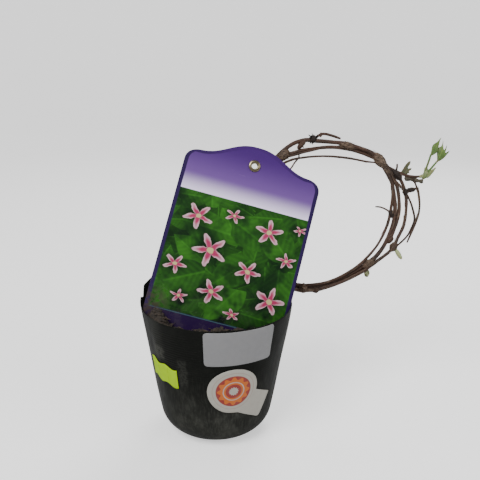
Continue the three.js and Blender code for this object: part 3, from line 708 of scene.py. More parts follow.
def softened(outline, step):
    """A closed smooth loop through the corners of an outline, wound anticlockwise."""
    corners = [Vector((x, y, 0)) for x, y in outline]
    loop = smooth_path([corners[-1], *corners, corners[0], corners[1]], step)
    gaps = [(place - corners[0]).length for place in loop]
    first = gaps.index(min(gaps))
    last = max(i for i, gap in enumerate(gaps) if gap < 1e-4)
    made = [(p.x, p.y) for p in loop[first:last]]
    area = sum(x0 * y1 - x1 * y0 for (x0, y0), (x1, y1) in zip(made, made[1:] + made[:1]))
    return made if area > 0 else made[::-1]


def square_to(way):
    """Two directions square to a direction and to each other."""
    first = way.cross(Vector((0.3, 0.9, 0.2))).normalized()
    return first, way.cross(first)


def swung(axes, angle):
    """The direction at an angle from the first of two axes towards the second."""
    return axes[0] * math.cos(angle) + axes[1] * math.sin(angle)


def at_azimuth(azimuth, radius, z):
    turn = math.radians(azimuth)
    return radius * math.sin(turn), -radius * math.cos(turn), z


def azimuth_from(where, azimuth):
    """Degrees from one azimuth to the other, the short way round."""
    return (azimuth - where + 180) % 360 - 180


# ---------------------------------------------------------------- Geometry Nodes
def grown(name, tree, source, values):
    """Runs a Geometry Nodes tree over a mesh and returns the plain mesh that comes out."""
    holder = bpy.data.objects.new(name + "_source", source)
    bpy.context.scene.collection.objects.link(holder)
    modifier = holder.modifiers.new(name, "NODES")
    modifier.node_group = tree
    for item in tree.interface.items_tree:
        if item.in_out == "INPUT" and item.name in values:
            modifier[item.identifier] = values[item.name]
    bpy.context.view_layer.update()
    depsgraph = bpy.context.evaluated_depsgraph_get()
    result = holder.evaluated_get(depsgraph)
    made = bpy.data.meshes.new_from_object(result, depsgraph=depsgraph)
    bpy.data.objects.remove(holder)
    made.name = name
    if not made.polygons:
        raise RuntimeError(f"the tree {tree.name} grew nothing for {name}")
    return made


def lines_mesh(lines):
    """Lines of places with a half thickness at each, as edges that a stem tree grows along."""
    points, edges, thick = [], [], []
    for path, widths in lines:
        first = len(points)
        points += [p * MM for p in path]
        edges += [(first + i, first + i + 1) for i in range(len(path) - 1)]
        thick += [w * MM for w in widths]
    mesh = bpy.data.meshes.new("lines")
    mesh.from_pydata(points, edges, [])
    store(mesh, "thick", thick)
    return mesh


def captured(geometry, value, kind):
    """Captures a field on a geometry; returns the geometry and the captured value."""
    tree = geometry.tree
    node = tree.nodes.new("GeometryNodeCaptureAttribute")
    node.capture_items.new(kind, "Kept")
    tree.links.new(geometry.socket, node.inputs["Geometry"])
    tree.links.new(value.socket, node.inputs["Kept"])
    return Wire(tree, node.outputs["Geometry"]), Wire(tree, node.outputs["Kept"])


def realized(geometry):
    return put(geometry.tree, "GeometryNodeRealizeInstances", {"Geometry": geometry})


def end_growth(geometry, made):
    """Ends a tree in Realize Instances and Set Material."""
    tree = geometry.tree
    feeds = {"Geometry": realized(geometry), "Material": made}
    return end_tree(tree, {"Geometry": put(tree, "GeometryNodeSetMaterial", feeds)})


def pushed(geometry, way, distance):
    """Moves every point of a geometry along a vector times a distance."""
    feeds = {"Geometry": geometry, "Offset": way.vectors("SCALE", distance)}
    return put(geometry.tree, "GeometryNodeSetPosition", feeds)


def stem_tree(name, made):
    """A tree that grows a ridged stem along every line of a mesh, as thick as its "thick" says."""
    tree, ins = new_tree(name, "GeometryNodeTree", {
        "Lines": "Geometry", "Sides": 14, "Ridges": 6.0, "Ridge depth": 0.13,
        "Roughness": 0.1 * MM, "Twist": 30.0, "Flatness": 1.0})
    curve = put(tree, "GeometryNodeMeshToCurve", {"Mesh": ins["Lines"]})
    along = wires(tree, "GeometryNodeSplineParameter")["Length"]
    feeds = {"Curve": curve, "Tilt": along * ins["Twist"]}
    curve, travelled = captured(put(tree, "GeometryNodeSetCurveTilt", feeds), along, "FLOAT")
    circle = put(tree, "GeometryNodeCurvePrimitiveCircle", {
        "Resolution": ins["Sides"], "Radius": 1.0})
    corner = put(tree, "GeometryNodeInputPosition")
    circle, around = captured(circle, corner, "VECTOR")
    angle = wires(tree, "GeometryNodeSplineParameter")["Factor"] * (2 * math.pi)
    swell = (angle * ins["Ridges"]).math("COSINE") * ins["Ridge depth"] + 1
    x, y, _ = split(corner)
    ridged = vector(tree, x * swell, y * swell * ins["Flatness"])
    circle = put(tree, "GeometryNodeSetPosition", {"Geometry": circle, "Position": ridged})
    thick = put(tree, "GeometryNodeInputNamedAttribute", {"Name": "thick"}, data_type="FLOAT")
    mesh = put(tree, "GeometryNodeCurveToMesh", {
        "Curve": curve, "Profile Curve": circle, "Scale": thick, "Fill Caps": True})
    x, y, _ = split(around)
    bark = vector(tree, x, y, travelled * (1 / MM))
    feeds = {"Geometry": mesh, "Name": "bark", "Value": bark}
    mesh = put(tree, "GeometryNodeStoreNamedAttribute", feeds, data_type="FLOAT_VECTOR",
               domain="POINT")
    rough = cloud(stretched(bark, 2.2, 2.2, 0.35), 1.0, 3, 0.6) - 0.5
    normal = put(tree, "GeometryNodeInputNormal")
    return end_growth(pushed(mesh, normal, rough * ins["Roughness"] * 2), made)


def random_value(tree, low, high, seed, kind="FLOAT"):
    feeds = {"Min": low, "Max": high, "Seed": seed}
    return put(tree, "FunctionNodeRandomValue", feeds, data_type=kind)


def random_turn(tree, tilt, seed):
    """Any turn about an upright axis, after a tilt of up to `tilt` radians."""
    turn = random_value(tree, (-tilt, -tilt, 0), (tilt, tilt, 6.28), seed, "FLOAT_VECTOR")
    return put(tree, "FunctionNodeEulerToRotation", {"Euler": turn})


def scatter_tree(name, made, shape, tilt):
    """A tree that scatters a small shape over the upward faces of a mesh, with a fixed seed."""
    tree, ins = new_tree(name, "GeometryNodeTree", {
        "Ground": "Geometry", "Density": 100000.0, "Smallest": 0.5 * MM, "Largest": 1.5 * MM,
        "Lowest": 60 * MM, "Reach": 40 * MM, "Crumble": 0.3 * MM, "Seed": 1})
    _, _, up = split(put(tree, "GeometryNodeInputNormal"))
    place = put(tree, "GeometryNodeInputPosition")
    x, y, height = split(place)
    top = (up.math("GREATER_THAN", 0.3) * height.math("GREATER_THAN", ins["Lowest"])
           * away_from_middle(x, y).math("LESS_THAN", ins["Reach"]))
    points = put(tree, "GeometryNodeDistributePointsOnFaces", {
        "Mesh": ins["Ground"], "Selection": top, "Density": ins["Density"], "Seed": ins["Seed"]})
    crowd = put(tree, "GeometryNodeInstanceOnPoints", {
        "Points": points, "Instance": shape(tree), "Rotation": random_turn(tree, tilt, 3),
        "Scale": random_value(tree, ins["Smallest"], ins["Largest"], 5)})
    wobble = cloud(place, 900.0, 1, out="Color").vectors("SUBTRACT", (0.5, 0.5, 0.5))
    return end_growth(pushed(realized(crowd), wobble, ins["Crumble"]), made)


def crumb_shape(tree):
    return put(tree, "GeometryNodeMeshIcoSphere", {"Radius": 1.0, "Subdivisions": 2})


def chip_shape(tree):
    feeds = {"Geometry": crumb_shape(tree), "Scale": (1.0, 0.42, 0.16)}
    return put(tree, "GeometryNodeTransform", feeds)


def fibre_shape(tree):
    arc = put(tree, "GeometryNodeCurvePrimitiveBezierSegment", {
        "Resolution": 5, "Start": (-1.0, 0, 0), "Start Handle": (-0.3, 0.5, 0.15),
        "End Handle": (0.4, -0.35, 0.2), "End": (1.0, 0.1, -0.05)})
    profile = put(tree, "GeometryNodeCurvePrimitiveCircle", {"Resolution": 3, "Radius": 0.035})
    feeds = {"Curve": arc, "Profile Curve": profile, "Fill Caps": True}
    return put(tree, "GeometryNodeCurveToMesh", feeds)


def hair_tree(name, made):
    """A tree that stands fine hairs on every face of a mesh."""
    tree, ins = new_tree(name, "GeometryNodeTree", {
        "Skin": "Geometry", "Density": 4e6, "Length": 0.45 * MM, "Seed": 4})
    found = wires(tree, "GeometryNodeDistributePointsOnFaces", {
        "Mesh": ins["Skin"], "Density": ins["Density"], "Seed": ins["Seed"]})
    cone = put(tree, "GeometryNodeMeshCone", {
        "Vertices": 3, "Radius Bottom": 0.05, "Depth": 1.0, "Radius Top": 0.004})
    feeds = {"Rotation": found["Rotation"], "Rotate By": random_turn(tree, 0.5, 2)}
    turn = put(tree, "FunctionNodeRotateRotation", feeds, rotation_space="LOCAL")
    size = random_value(tree, 0.5, 1.0, 6) * ins["Length"]
    crowd = put(tree, "GeometryNodeInstanceOnPoints", {
        "Points": found["Points"], "Instance": cone, "Rotation": turn, "Scale": size})
    return end_growth(crowd, made)


# ---------------------------------------------------------------- the pot
def wall_radius(z):
    return FOOT_RADIUS + WALL_SLOPE * z


def corner_rings(radius, steps):
    """The rings (radius, z) round the pot's bottom corner, from its flat underside out."""
    return [(FLAT_RADIUS + radius * math.sin(CORNER_TURN * i / steps),
             CORNER_RADIUS - radius * math.cos(CORNER_TURN * i / steps)) for i in range(steps + 1)]


def film_offset(azimuth, z):
    """How far the soft film bellies out from a true cone at a place, or is drawn in."""
    turn = math.radians(azimuth)
    waves = sum(size * math.sin(count * turn + start) for size, count, start in FILM_WAVES)
    dents = 0.0
    for where, height, wide, tall, depth in FILM_DENTS:
        away = azimuth_from(where, azimuth) / wide
        dents += depth * math.exp(-away * away - ((z - height) / tall) ** 2)
    belly = 0.45 * smooth(z, 8, 30) * (1 - 0.4 * smooth(z, 74, 80))
    return waves * smooth(z, 20, 78) + belly - dents * smooth(z, 8, 24)


def rim_lift(azimuth, z):
    """How much higher than z the film stands near its rim."""
    share = max(0.0, (z - RIM_FROM) / (POT_HEIGHT - RIM_FROM))
    return share * float(np.interp(azimuth % 360, *zip(*RIM_LIFT)))


def rim_cut(azimuth):
    """How far the rim's cut edge runs above or below its height."""
    turn = math.radians(azimuth)
    return 0.22 * (math.sin(5 * turn + 1) + 0.6 * math.sin(11 * turn + 0.3) - 1.6)


def on_wall(azimuth, z, off):
    return at_azimuth(azimuth, wall_radius(z) + film_offset(azimuth, z) + off, z)


def rib(azimuth, z, look):
    """Depth of the fine moulded ribs in the film, worn away from the front to the back."""
    pitch, depth = look.rib_pitch / MM, look.rib_depth / MM
    low, high = RIBS
    window = smooth(z, low, low + 3) * (1 - smooth(z, high - 3, high))
    worn = 0.2 + 0.8 * math.exp(-(azimuth_from(-27, azimuth) / 34) ** 2)
    return depth * worn * window * (0.5 - 0.5 * math.cos(2 * math.pi * (z - low) / pitch))


def pot_mesh(look):
    """The film: outer wall with fine ribs, cut rim, inner wall, and a base with drain holes."""
    sides, drain_sides, corner_steps, bevel = 168, 24, 14, 0.12
    wall = [*np.arange(15.5, RIBS[0], 1.5), *np.arange(*RIBS, look.rib_pitch / MM / 5),
            77.5, 78.5, 79.4]
    inner_wall = [79.4, 78, 75, 71, 67, 62, 56, 48, 40, 30, 20]
    rim = wall_radius(POT_HEIGHT)
    rings = [(*ring, "corner") for ring in corner_rings(CORNER_RADIUS, corner_steps)]
    rings += [(wall_radius(z), z, "ribbed") for z in wall]
    rings += [(rim - bevel, POT_HEIGHT, "plain"), (rim - WALL + bevel, POT_HEIGHT, "plain")]
    rings += [(wall_radius(z) - WALL, z, "plain") for z in inner_wall]
    inner_corner = corner_rings(CORNER_RADIUS - WALL, corner_steps)
    rings += [(*ring, "corner") for ring in reversed(inner_corner)]
    points = []
    for radius, z, sort in rings:
        for i in range(sides):
            azimuth = i / sides * 360
            high, drawn = z, 0.0
            if sort != "corner":
                lift = rim_lift(azimuth, z)
                drawn = film_offset(azimuth, z) + WALL_SLOPE * lift
                high = z + lift + smooth(z, RIM_CUT_FROM, POT_HEIGHT) * rim_cut(azimuth)
            if sort == "ribbed":
                drawn -= rib(azimuth, z, look)
            points.append(at_azimuth(azimuth, radius + drawn, high))
    faces = ring_faces(len(rings), sides)
    edge = [at_azimuth(i / sides * 360, FLAT_RADIUS, 0)[:2] for i in range(sides)]
    holes = []
    for k in range(DRAIN_HOLES):
        angle = (k + 0.5) / DRAIN_HOLES * 2 * math.pi
        x, y = DRAIN_RING * math.cos(angle), DRAIN_RING * math.sin(angle)
        turns = [2 * math.pi * i / drain_sides for i in range(drain_sides)]
        holes.append([(x + DRAIN_RADIUS * math.cos(t), y - DRAIN_RADIUS * math.sin(t))
                      for t in turns])
    flat, triangles = filled([edge, *holes], spacing=3)
    for z, order in ((0, -1), (WALL, 1)):
        faces += moved_on(triangles, len(points), order)
        points += [(x, y, z) for x, y in flat]
    for hole in holes:
        faces += moved_on(ring_faces(2, drain_sides), len(points))
        points += [(x, y, z) for z in (0, WALL) for x, y in hole]
    return outward(new_mesh("pot_film", points, faces))


def pot_material(look):
    """Black film: dust and a paler tone low on the front, upright streaks and scores, glue left by
    an old label, and a painted highlight down a fold of the film on the left.
    """
    place, finish = new_material("pot_film")
    x, y, z = split(place)
    azimuth, z = x.math("ARCTAN2", -y) * (180 / math.pi), z * (1 / MM)
    streaks = rise(cloud(stretched(place, 1, 1, 0.05), 430.0, 4, 0.6), 0.34, 0.72)
    low = rise(z, 52, 12) * (rise(abs(azimuth + 4), 64, 14) + 0.45)
    dusty = weathering(Vector=place, Ground=look.film, Dust=look.dust, Scale=75.0,
                       Amount=streaks * low * look.dustiness + low * 0.26 + 0.05)
    ragged = cloud(place, 240.0, 4) * 6 - 3
    glue = within(azimuth + ragged, -56, -45, 1.2) * within(z + ragged * 0.5, 56, 64, 1)
    patch = within(azimuth + ragged, -32, -24, 1.5) * within(z, 42, 59, 2)
    marks = (glue * 0.5 + patch * 0.26) * rise(cloud(place, 900.0, 3), 0.3, 0.6)
    scores = rise(cloud(stretched(place, 1, 1, 0.014), 1300.0, 3), 0.42, 0.72)
    # Painted highlight: a lighter band down a fold of the film on the left, from about 50 mm up,
    # plus a paler tone low on the front.
    painted_highlight_and_pale_front = within(azimuth, -58, -46, 5) * rise(z, 50, 62) * 0.17 + low * 0.13
    pale = (marks + scores * rise(z, 62, 26) * 0.2 + painted_highlight_and_pale_front).math("MINIMUM", 0.8)
    fine = grain(Vector=stretched(place, 1, 1, 0.4), Scale=2600.0)
    rough = dusty["Mask"] * 0.3 + fine["Mottle"] * 0.1 + marks * 0.2 + 0.42
    return finish(mix(pale, dusty["Color"], look.dust), rough,
                  fine["Height"] * 0.5 + streaks * 0.5, depth=0.06, strength=0.5,
                  Specular_IOR_Level=0.04)


# ---------------------------------------------------------------- the soil
def soil_height(x, y):
    away = math.hypot(x - SOIL_HEAP["x"], y - SOIL_HEAP["y"]) / SOIL_HEAP["spread"]
    crumbs = (math.sin(0.55 * x + 0.8) * math.cos(0.47 * y - 0.4)
              + 0.6 * math.sin(0.31 * x - 0.62 * y))
    return SOIL_LEVEL + SOIL_HEAP["height"] * math.exp(-away * away) + 0.9 * crumbs


def soil_mesh():
    """The root ball with a crumbled top, closed down to the bottom of the pot."""
    sides, steps, gap = 200, 52, WALL + 0.25
    corner = corner_rings(CORNER_RADIUS - gap, 8)
    wall = [(wall_radius(z) - gap - 0.5, z) for z in (25, 40, 55, 63)]
    edge = wall_radius(SOIL_LEVEL) - gap - 0.35
    rings = [*corner, *wall, *((edge * (1 - i / steps), None) for i in range(steps))]
    points = []
    for ring, (radius, z) in enumerate(rings):
        for i in range(sides):
            azimuth, drawn = i / sides * 360, 0.0
            if ring >= len(corner):
                drawn = film_offset(azimuth, z or SOIL_LEVEL) * min(1.0, radius / edge)
            x, y, _ = at_azimuth(azimuth, radius + drawn, 0)
            high = z
            if z is None:
                lumps = noise.fractal(Vector((x, y, 3.0)) / 5, 0.9, 2.1, 4)
                fine = noise.noise(Vector((x, y, 9.0)) / 1.3)
                high = soil_height(x, y) + 0.9 * lumps + 0.35 * fine - 0.2
            points.append((x, y, high))
    bottom, top = len(points), len(points) + 1
    last = bottom - sides
    points += [(0, 0, gap), (0, 0, soil_height(0, 0))]
    faces = ring_faces(len(rings), sides)
    faces += [((i + 1) % sides, i, bottom) for i in range(sides)]
    faces += [(last + i, last + (i + 1) % sides, top) for i in range(sides)]
    return outward(new_mesh("soil_bed", points, faces))


def soil_material(look, name, warm):
    """Damp crumbly soil; `warm` from 0 to 1 leads from dark crumbs to pale fibres."""
    place, finish = new_material(name)
    base = mix(rise(cloud(place, 260.0, 5, 0.65), 0.34, 0.68), look.dark, look.light)
    pale = rise(cloud(place, 1100.0, 2), 0.45, 0.7) * 0.5 + warm * 0.5
    fine = grain(Vector=place, Scale=3000.0)
    return finish(mix(pale, base, look.fibre), fine["Mottle"] * 0.15 + 0.8, fine["Height"],
                  depth=0.3, strength=0.8)


# ---------------------------------------------------------------- the tag
def rotation(degrees, axis):
    """A matrix that turns about an axis."""
    return Matrix.Rotation(math.radians(degrees), 3, axis)


TAG_AXES = rotation(TAG_TURN, "Z") @ rotation(-TAG_LEAN, "X") @ rotation(TAG_ROLL, "Y")


def on_tag(x, y, h):
    """A place on the tag: across it, up it, and off its middle towards the front."""
    return Vector(TAG_CENTRE) + TAG_AXES @ Vector((x, -h, y))


def bezier(start, first, second, end, steps=12):
    made = []
    for i in range(steps):
        t = i / steps
        parts = ((1 - t) ** 3, 3 * t * (1 - t) ** 2, 3 * t * t * (1 - t), t ** 3)
        made.append(tuple(sum(part * c for part, c in zip(parts, places))
                          for places in zip(start, first, second, end)))
    return made


def straight(start, end, steps):
    return [tuple(a + (b - a) * i / steps for a, b in zip(start, end)) for i in range(steps)]


def tag_outline():
    """Half of the tag's outline from its tip up its right side, then the other half mirrored."""
    half = straight((2, -79), (8, -58), 5) + straight((8, -58), (36, -47), 8)
    half += bezier((36, -47), (40.2, -45), (42.3, -42), (42.3, -38), 6)
    half += straight((42.3, -38), (42.3, 54), 30)
    half += bezier((42.3, 54), (42.3, 58.4), (38.9, 61.1), (33.5, 61.4))
    half += bezier((33.5, 61.4), (20, 62), (15, 72.5), (0, 72), 18)
    return half + [(0, 72)] + [(-x, y) for x, y in reversed(half)]


@shared(Vector="Vector", Size=12.0, Slim=0.3)
def leaf_scatter(ins):
    """Shared group: printed leaves scattered at random, with a midrib and side veins."""
    place = ins["Vector"].vectors("SCALE", ins["Size"].math("POWER", -1.0))
    feeds = {"Vector": place, "Scale": 1.0, "Randomness": 0.85}
    cell = wires(place.tree, "ShaderNodeTexVoronoi", feeds, voronoi_dimensions="2D")
    x, y, _ = split(place.vectors("SUBTRACT", cell["Position"]))
    chance, shade, _ = split(cell["Color"])
    turn = chance * (2 * math.pi)
    cosine, sine = turn.math("COSINE"), turn.math("SINE")
    along, across = x * cosine + y * sine, y * cosine - x * sine
    reach = along * (1 / 0.66)
    width = (1 - reach * reach) * (1 - reach * 0.4) * ins["Slim"]
    side = abs(across)
    veins = ((along - side * 0.8) * 44).math("SINE")
    tone = (shade * 0.5 + rise(across, -0.02, 0.02) * 0.22 + veins * 0.07
            + rise(reach, -0.9, 0.9) * 0.22 + 0.05)
    return {"Mask": rise(width - side, 0.0, 0.035), "Tone": tone, "Rib": rise(side, 0.035, 0.008)}


@shared(Vector="Vector", Centre="Vector", Radius=8.0, Turn=0.0, Squash=1.0)
def star_blossom(ins):
    """Shared group: a printed star blossom with five petals and a small core."""
    x, y, _ = split(ins["Vector"].vectors("SUBTRACT", ins["Centre"]))
    x, y = x / ins["Radius"], y / (ins["Radius"] * ins["Squash"])
    away = away_from_middle(x, y)
    lobe = (y.math("ARCTAN2", x) * 5 + ins["Turn"] * 5).math("COSINE")
    reach = lobe * 0.33 + 0.62 + rise(lobe, 0.6, 1) * 0.07
    return {"Petals": rise(reach - away, 0.0, 0.08), "Halo": rise(away, 1.35, 0.5),
            "Tip": rise(away / reach, 0.45, 0.95), "Core": rise(away, 0.2, 0.15),
            "Shade": rise(lobe, 0.2, -0.9) * 0.7 + rise(lobe, 0.86, 1) * 0.4}


def printed_picture(place, look):
    """Four layers of leaves, from the shade to the light, and star blossoms on them."""
    _, v, _ = split(place)
    picture = mix(cloud(place, 0.12, 3), look.shadow, tinted(look.foliage, 0.35))
    for size, offset, slim, dark, light in LEAF_LAYERS:
        leaf = leaf_scatter(Vector=place.vectors("ADD", (*offset, 0)), Size=size, Slim=slim)
        deep = blended(dark * 0.35, look.shadow, look.foliage)
        shown = mix(leaf["Tone"], deep, tinted(look.foliage, light))
        shown = mix(leaf["Rib"] * 0.2, shown, tinted(look.foliage, 1.7))
        picture = mix(leaf["Mask"], picture, shown)
    depths = rise(cloud(place, 0.055, 3, 0.6), 0.42, 0.64) + rise(v, -8, -38) * 0.5
    picture = mix(depths.math("MULTIPLY", 0.72, use_clamp=True), picture, look.shadow)
    drift = cloud(place, 0.25, 2, out="Color").vectors("MULTIPLY_ADD", (2.2, 2.2, 0), place)
    for x, y, radius, turn, squash in BLOSSOMS:
        star = star_blossom(Vector=drift, Centre=(x + 1.1, y + 1.1, 0), Radius=radius, Turn=turn,
                            Squash=squash)
        picture = mix(star["Halo"] * 0.6, picture, look.shadow)
        petal = mix(star["Tip"], look.petal, (0.5, 0.33, 0.38))
        petal = mix(star["Shade"] * 0.6, petal, tinted(look.petal, 0.5))
        petal = mix(star["Core"], petal, (0.4, 0.34, 0.16))
        picture = mix(star["Petals"], picture, petal)
    return picture


def printed_ground(u, v, look):
    """The header that fades to white inside a thin line, and the dark bands round the picture."""
    fade = mix(rise(v, 69, 40), tinted(look.border, 1.15), look.lilac)
    fade = mix(rise(v, 48, 33), fade, (0.74, 0.66, 0.86))
    side = abs(u)
    brow = rise(side, 33.5, 0) * 10.8 + 61.2
    corner = away_from_middle((side - 33.5).math("MAXIMUM", 0), (v - 54).math("MAXIMUM", 0))
    framed = rise(brow - v, 1.5, 2) * rise(corner * rise(side, 32, 34), 6.6, 6.1)
    framed = framed * rise(v, 36, 36.4) * within(u, -39.9, 39.9, 0.2)
    line = mix(rise(v, 56, 66), tinted(look.border, 0.45, 0.7, 0.5), look.border)
    ground = mix(rise(v, -36.6, -37.4), mix(framed, line, fade), tinted(look.border, 0.3))
    return mix(within(v, -37.0, -36.6, 0.1) * within(u, -39.9, 40.1), ground, (0.03, 0.08, 0.085))


def tag_print_material(look):
    """The printed front: a fading header, a picture of leaves and star blossoms, dark bands."""
    around, finish = new_material("tag_print")
    place = attribute(around.tree, "sheet")
    u, v, _ = split(place)
    inside = (within(u, PICTURE["left"], PICTURE["right"])
              * within(v, PICTURE["low"], PICTURE["high"]))
    base = mix(inside, printed_ground(u, v, look), printed_picture(place, look))
    dusty = weathering(Vector=around, Ground=base, Dust=(0.1, 0.085, 0.07), Scale=160.0,
                       Amount=rise(v, -10, -46) * 0.15 + 0.01)
    soil = (rise(u, -24, -38) * rise(v, -20, -34)
            * rise(cloud(place, 0.32, 5, 0.7), 0.4, 0.56))
    scuffs = rise(cloud(stretched(place, 0.1, 0.5, 1), 1.2, 4, 0.7), 0.55, 0.75)
    rough = soil * 0.4 + scuffs * 0.05 + dusty["Mask"] * 0.4 + 0.24
    return finish(mix(soil * 0.8, dusty["Color"], (0.03, 0.019, 0.013)), rough,
                  cloud(place, 0.35, 2), depth=0.12, strength=0.25, Specular_IOR_Level=0.2)


def tag_back_material(look):
    """Bare white plastic, a little uneven in tone, and soiled towards the ground."""
    place, finish = new_material("tag_card")
    _, v, _ = split(attribute(place.tree, "sheet"))
    base = mix(cloud(place, 60.0, 4) * 0.35, look.card, tinted(look.card, 0.82))
    dusty = weathering(Vector=place, Ground=base, Dust=(0.2, 0.15, 0.1), Scale=170.0,
                       Amount=rise(v, -20, -60) * 0.6 + 0.03)
    fine = grain(Vector=place, Scale=1800.0)
    return finish(dusty["Color"], fine["Mottle"] * 0.1 + 0.34, fine["Height"],
                  depth=0.03, strength=0.4, IOR=1.5)


def eyelet_material():
    """Brass-coloured metal with brown tarnish."""
    place, finish = new_material("eyelet_metal")
    fine = grain(Vector=place, Scale=4200.0)
    tarnish = rise(cloud(place, 700.0, 4), 0.42, 0.66)
    base = mix(tarnish * 0.7, (0.22, 0.18, 0.11), (0.07, 0.052, 0.033))
    return finish(base, tarnish * 0.25 + 0.22, fine["Height"], depth=0.02, strength=0.5,
                  Metallic=1.0)


# ---------------------------------------------------------------- labels on the pot
def dense(loop, step):
    """The same loop with no side longer than `step`."""
    made = []
    for start, end in zip(loop, loop[1:] + loop[:1]):
        made += straight(start, end, max(1, math.ceil(math.dist(start, end) / step)))
    return made


def name_label_outline(steps=8):
    corner = NAME_LABEL["corner"]
    loop = []
    for k, (x, y) in enumerate(((1, -1), (1, 1), (-1, 1), (-1, -1))):
        cx = x * (NAME_LABEL["width"] / 2 - corner)
        cy = y * (NAME_LABEL["height"] / 2 - corner)
        for i in range(steps + 1):
            angle = math.pi / 2 * (k - 1 + i / steps)
            loop.append((cx + corner * math.cos(angle), cy + corner * math.sin(angle)))
    return dense(loop, 1.5)


def round_label_outline():
    """The disc's edge, left where the tab covers it and followed round the tab there."""
    radius = ROUND_LABEL["radius"]
    turns = [math.radians(degrees) for degrees in range(3, 264, 3)]
    disc = [(radius * math.cos(turn), radius * math.sin(turn)) for turn in turns]
    return dense(disc + ROUND_LABEL_TAB, 1.2)


def price_label_outline(steps=32):
    """A rectangle whose upper and lower edges slope a little and run in two waves."""
    made = []
    for side, order in ((-1, range(steps + 1)), (1, range(steps, -1, -1))):
        for i in order:
            x = (i / steps - 0.5) * PRICE_LABEL["width"]
            wave = PRICE_LABEL["wave"] * math.sin(4 * math.pi * i / steps)
            middle = side * PRICE_LABEL["height"] / 2
            made.append((x, middle + PRICE_LABEL["slope"] * x + wave))
    return dense(made, 1.2)


def label_mesh(name, outline, where):
    """A thin label on the wall, one of whose corners comes loose."""
    middle = wall_radius(where["z"])
    across, up, start, end, height = where["loose"]

    def place(x, y, h):
        azimuth = where["azimuth"] + math.degrees(x / middle)
        lifted = height * smooth(across * x + up * y, start, end)
        return on_wall(azimuth, where["z"] + y, LABEL_OFF + h + lifted)

    return sheet(name, [outline], LABEL_THICKNESS, 1.1, place)


def paper_material(name, ground, marks=None, gloss=0.45, soiled=0.14, shine=0.3):
    """Label paper. `marks(place, ground)` may print on it."""
    around, finish = new_material(name)
    place = attribute(around.tree, "sheet")
    fine = grain(Vector=place, Scale=5.0)
    base = mix(fine["Mottle"] * 0.4, ground, tinted(ground, 0.88))
    if marks:
        base = marks(place, base)
    dusty = weathering(Vector=around, Ground=base, Dust=(0.2, 0.19, 0.17), Amount=soiled,
                       Scale=210.0)
    creases = rise(abs(cloud(place, 0.22, 3) - 0.5), 0.03, 0.0)
    return finish(dusty["Color"], fine["Mottle"] * 0.1 + gloss,
                  fine["Height"] * 0.4 + creases * 0.6, depth=0.05, strength=0.4,
                  Specular_IOR_Level=shine)


def emblem(look):
    """A plain rosette: a red ring, twelve orange petals and a red core."""
    def marks(place, ground):
        x, y, _ = split(place)
        x, y = x - 0.2, y - 0.1
        away = away_from_middle(x, y)
        edge = (y.math("ARCTAN2", x) * 12).math("COSINE") * 0.9 + 8.5
        made = mix(rise(away, 10.2, 10.0), ground, look.red)
        made = mix(rise(away - edge, 0.1, -0.1), made, look.orange)
        made = mix(within(away, 5.6, 6.2, 0.1), made, ground)
        made = mix(rise(away, 4.7, 4.5), made, look.red)
        made = mix(rise(away - edge * 0.3, 0.1, -0.1), made, ground)
        return mix(within(away, 11.9, 12.1, 0.08) * 0.5, made, look.red)
    return marks


def slits(place, ground):
    """Two fine cuts that make the label tear when it is peeled."""
    x, y, _ = split(place)
    cut = within(x, -3.6, -3.45, 0.05) + within(x, 4.2, 4.35, 0.05)
    return mix(cut * within(abs(y), 1.2, 4.6, 0.2) * 0.7, ground, (0.07, 0.11, 0.01))


# ---------------------------------------------------------------- the vine
LEAN = math.radians(COIL_LEAN)
COIL_UP = Vector((0, math.sin(LEAN), math.cos(LEAN)))
COIL_FRONT = Vector((0, -math.cos(LEAN), math.sin(LEAN)))


def way_in_coil(angle):
    turn = math.radians(angle)
    return Vector((math.cos(turn), 0, 0)) + COIL_UP * math.sin(turn)


def in_coil(angle, distance, depth=0):
    turn = math.radians(angle)
    return (Vector(COIL_CENTRE) + Vector((distance * math.cos(turn), 0, 0))
            + COIL_UP * (distance * math.sin(turn)) + COIL_FRONT * depth)


def stem_lines():
    """Every stem as a line with its half thickness, thinner at a free end and uneven all along."""
    lines = []
    for order, (radius, ground, coil) in enumerate(STEMS.values()):
        path = smooth_path([*ground, *(in_coil(*p) for p in coil)], step=1.1)
        total = len(path) - 1
        radii = np.linspace(*np.broadcast_to(radius, 2), total + 1)
        widths = []
        for i, place in enumerate(path):
            coarse = noise.noise(place / 9 + Vector((order, 0, 0)))
            uneven = 1 + 0.1 * coarse + 0.05 * noise.noise(place / 2.5)
            ends = min(1.0, 0.75 + 0.25 * min(i if not ground else total, total - i) / 3)
            heavier = 1.01 + 0.13 * smooth(abs(place.z - COIL_CENTRE[2]), 15, 32)
            widths.append(float(radii[i]) * uneven * ends * heavier)
        lines.append((path, widths))
    return lines


def strip_widths(count, widest):
    """Half thickness along a loose strip, which tapers to both ends."""
    return [widest * math.sin(math.pi * (k + 0.6) / (count + 0.2)) + 0.05 for k in range(count)]


def strip_lines(stems, number, chance):
    """Loose strips of bark: they leave the stem's skin and curl away from it."""
    lines, shortest = [], 30
    thick = [line for line in stems if len(line[0]) > shortest]
    lengths = [len(path) for path, _ in thick]
    for _ in range(number):
        path, widths = chance.choices(thick, lengths)[0]
        span = chance.randint(4, 11)
        start = chance.randint(2, len(path) - span - 3)
        angle, drift = chance.uniform(0, 2 * math.pi), chance.uniform(-0.08, 0.08)
        lift = chance.choice((0.1, 0.2, 0.35, 0.9))
        strip = []
        for k in range(span):
            i = start + k
            axes = square_to((path[i + 1] - path[i - 1]).normalized())
            away = widths[i] * 1.02 + lift * (k / span) ** 2
            strip.append(path[i] + swung(axes, angle + drift * k) * away)
        lines.append((strip, strip_widths(span, 0.2)))
    return lines


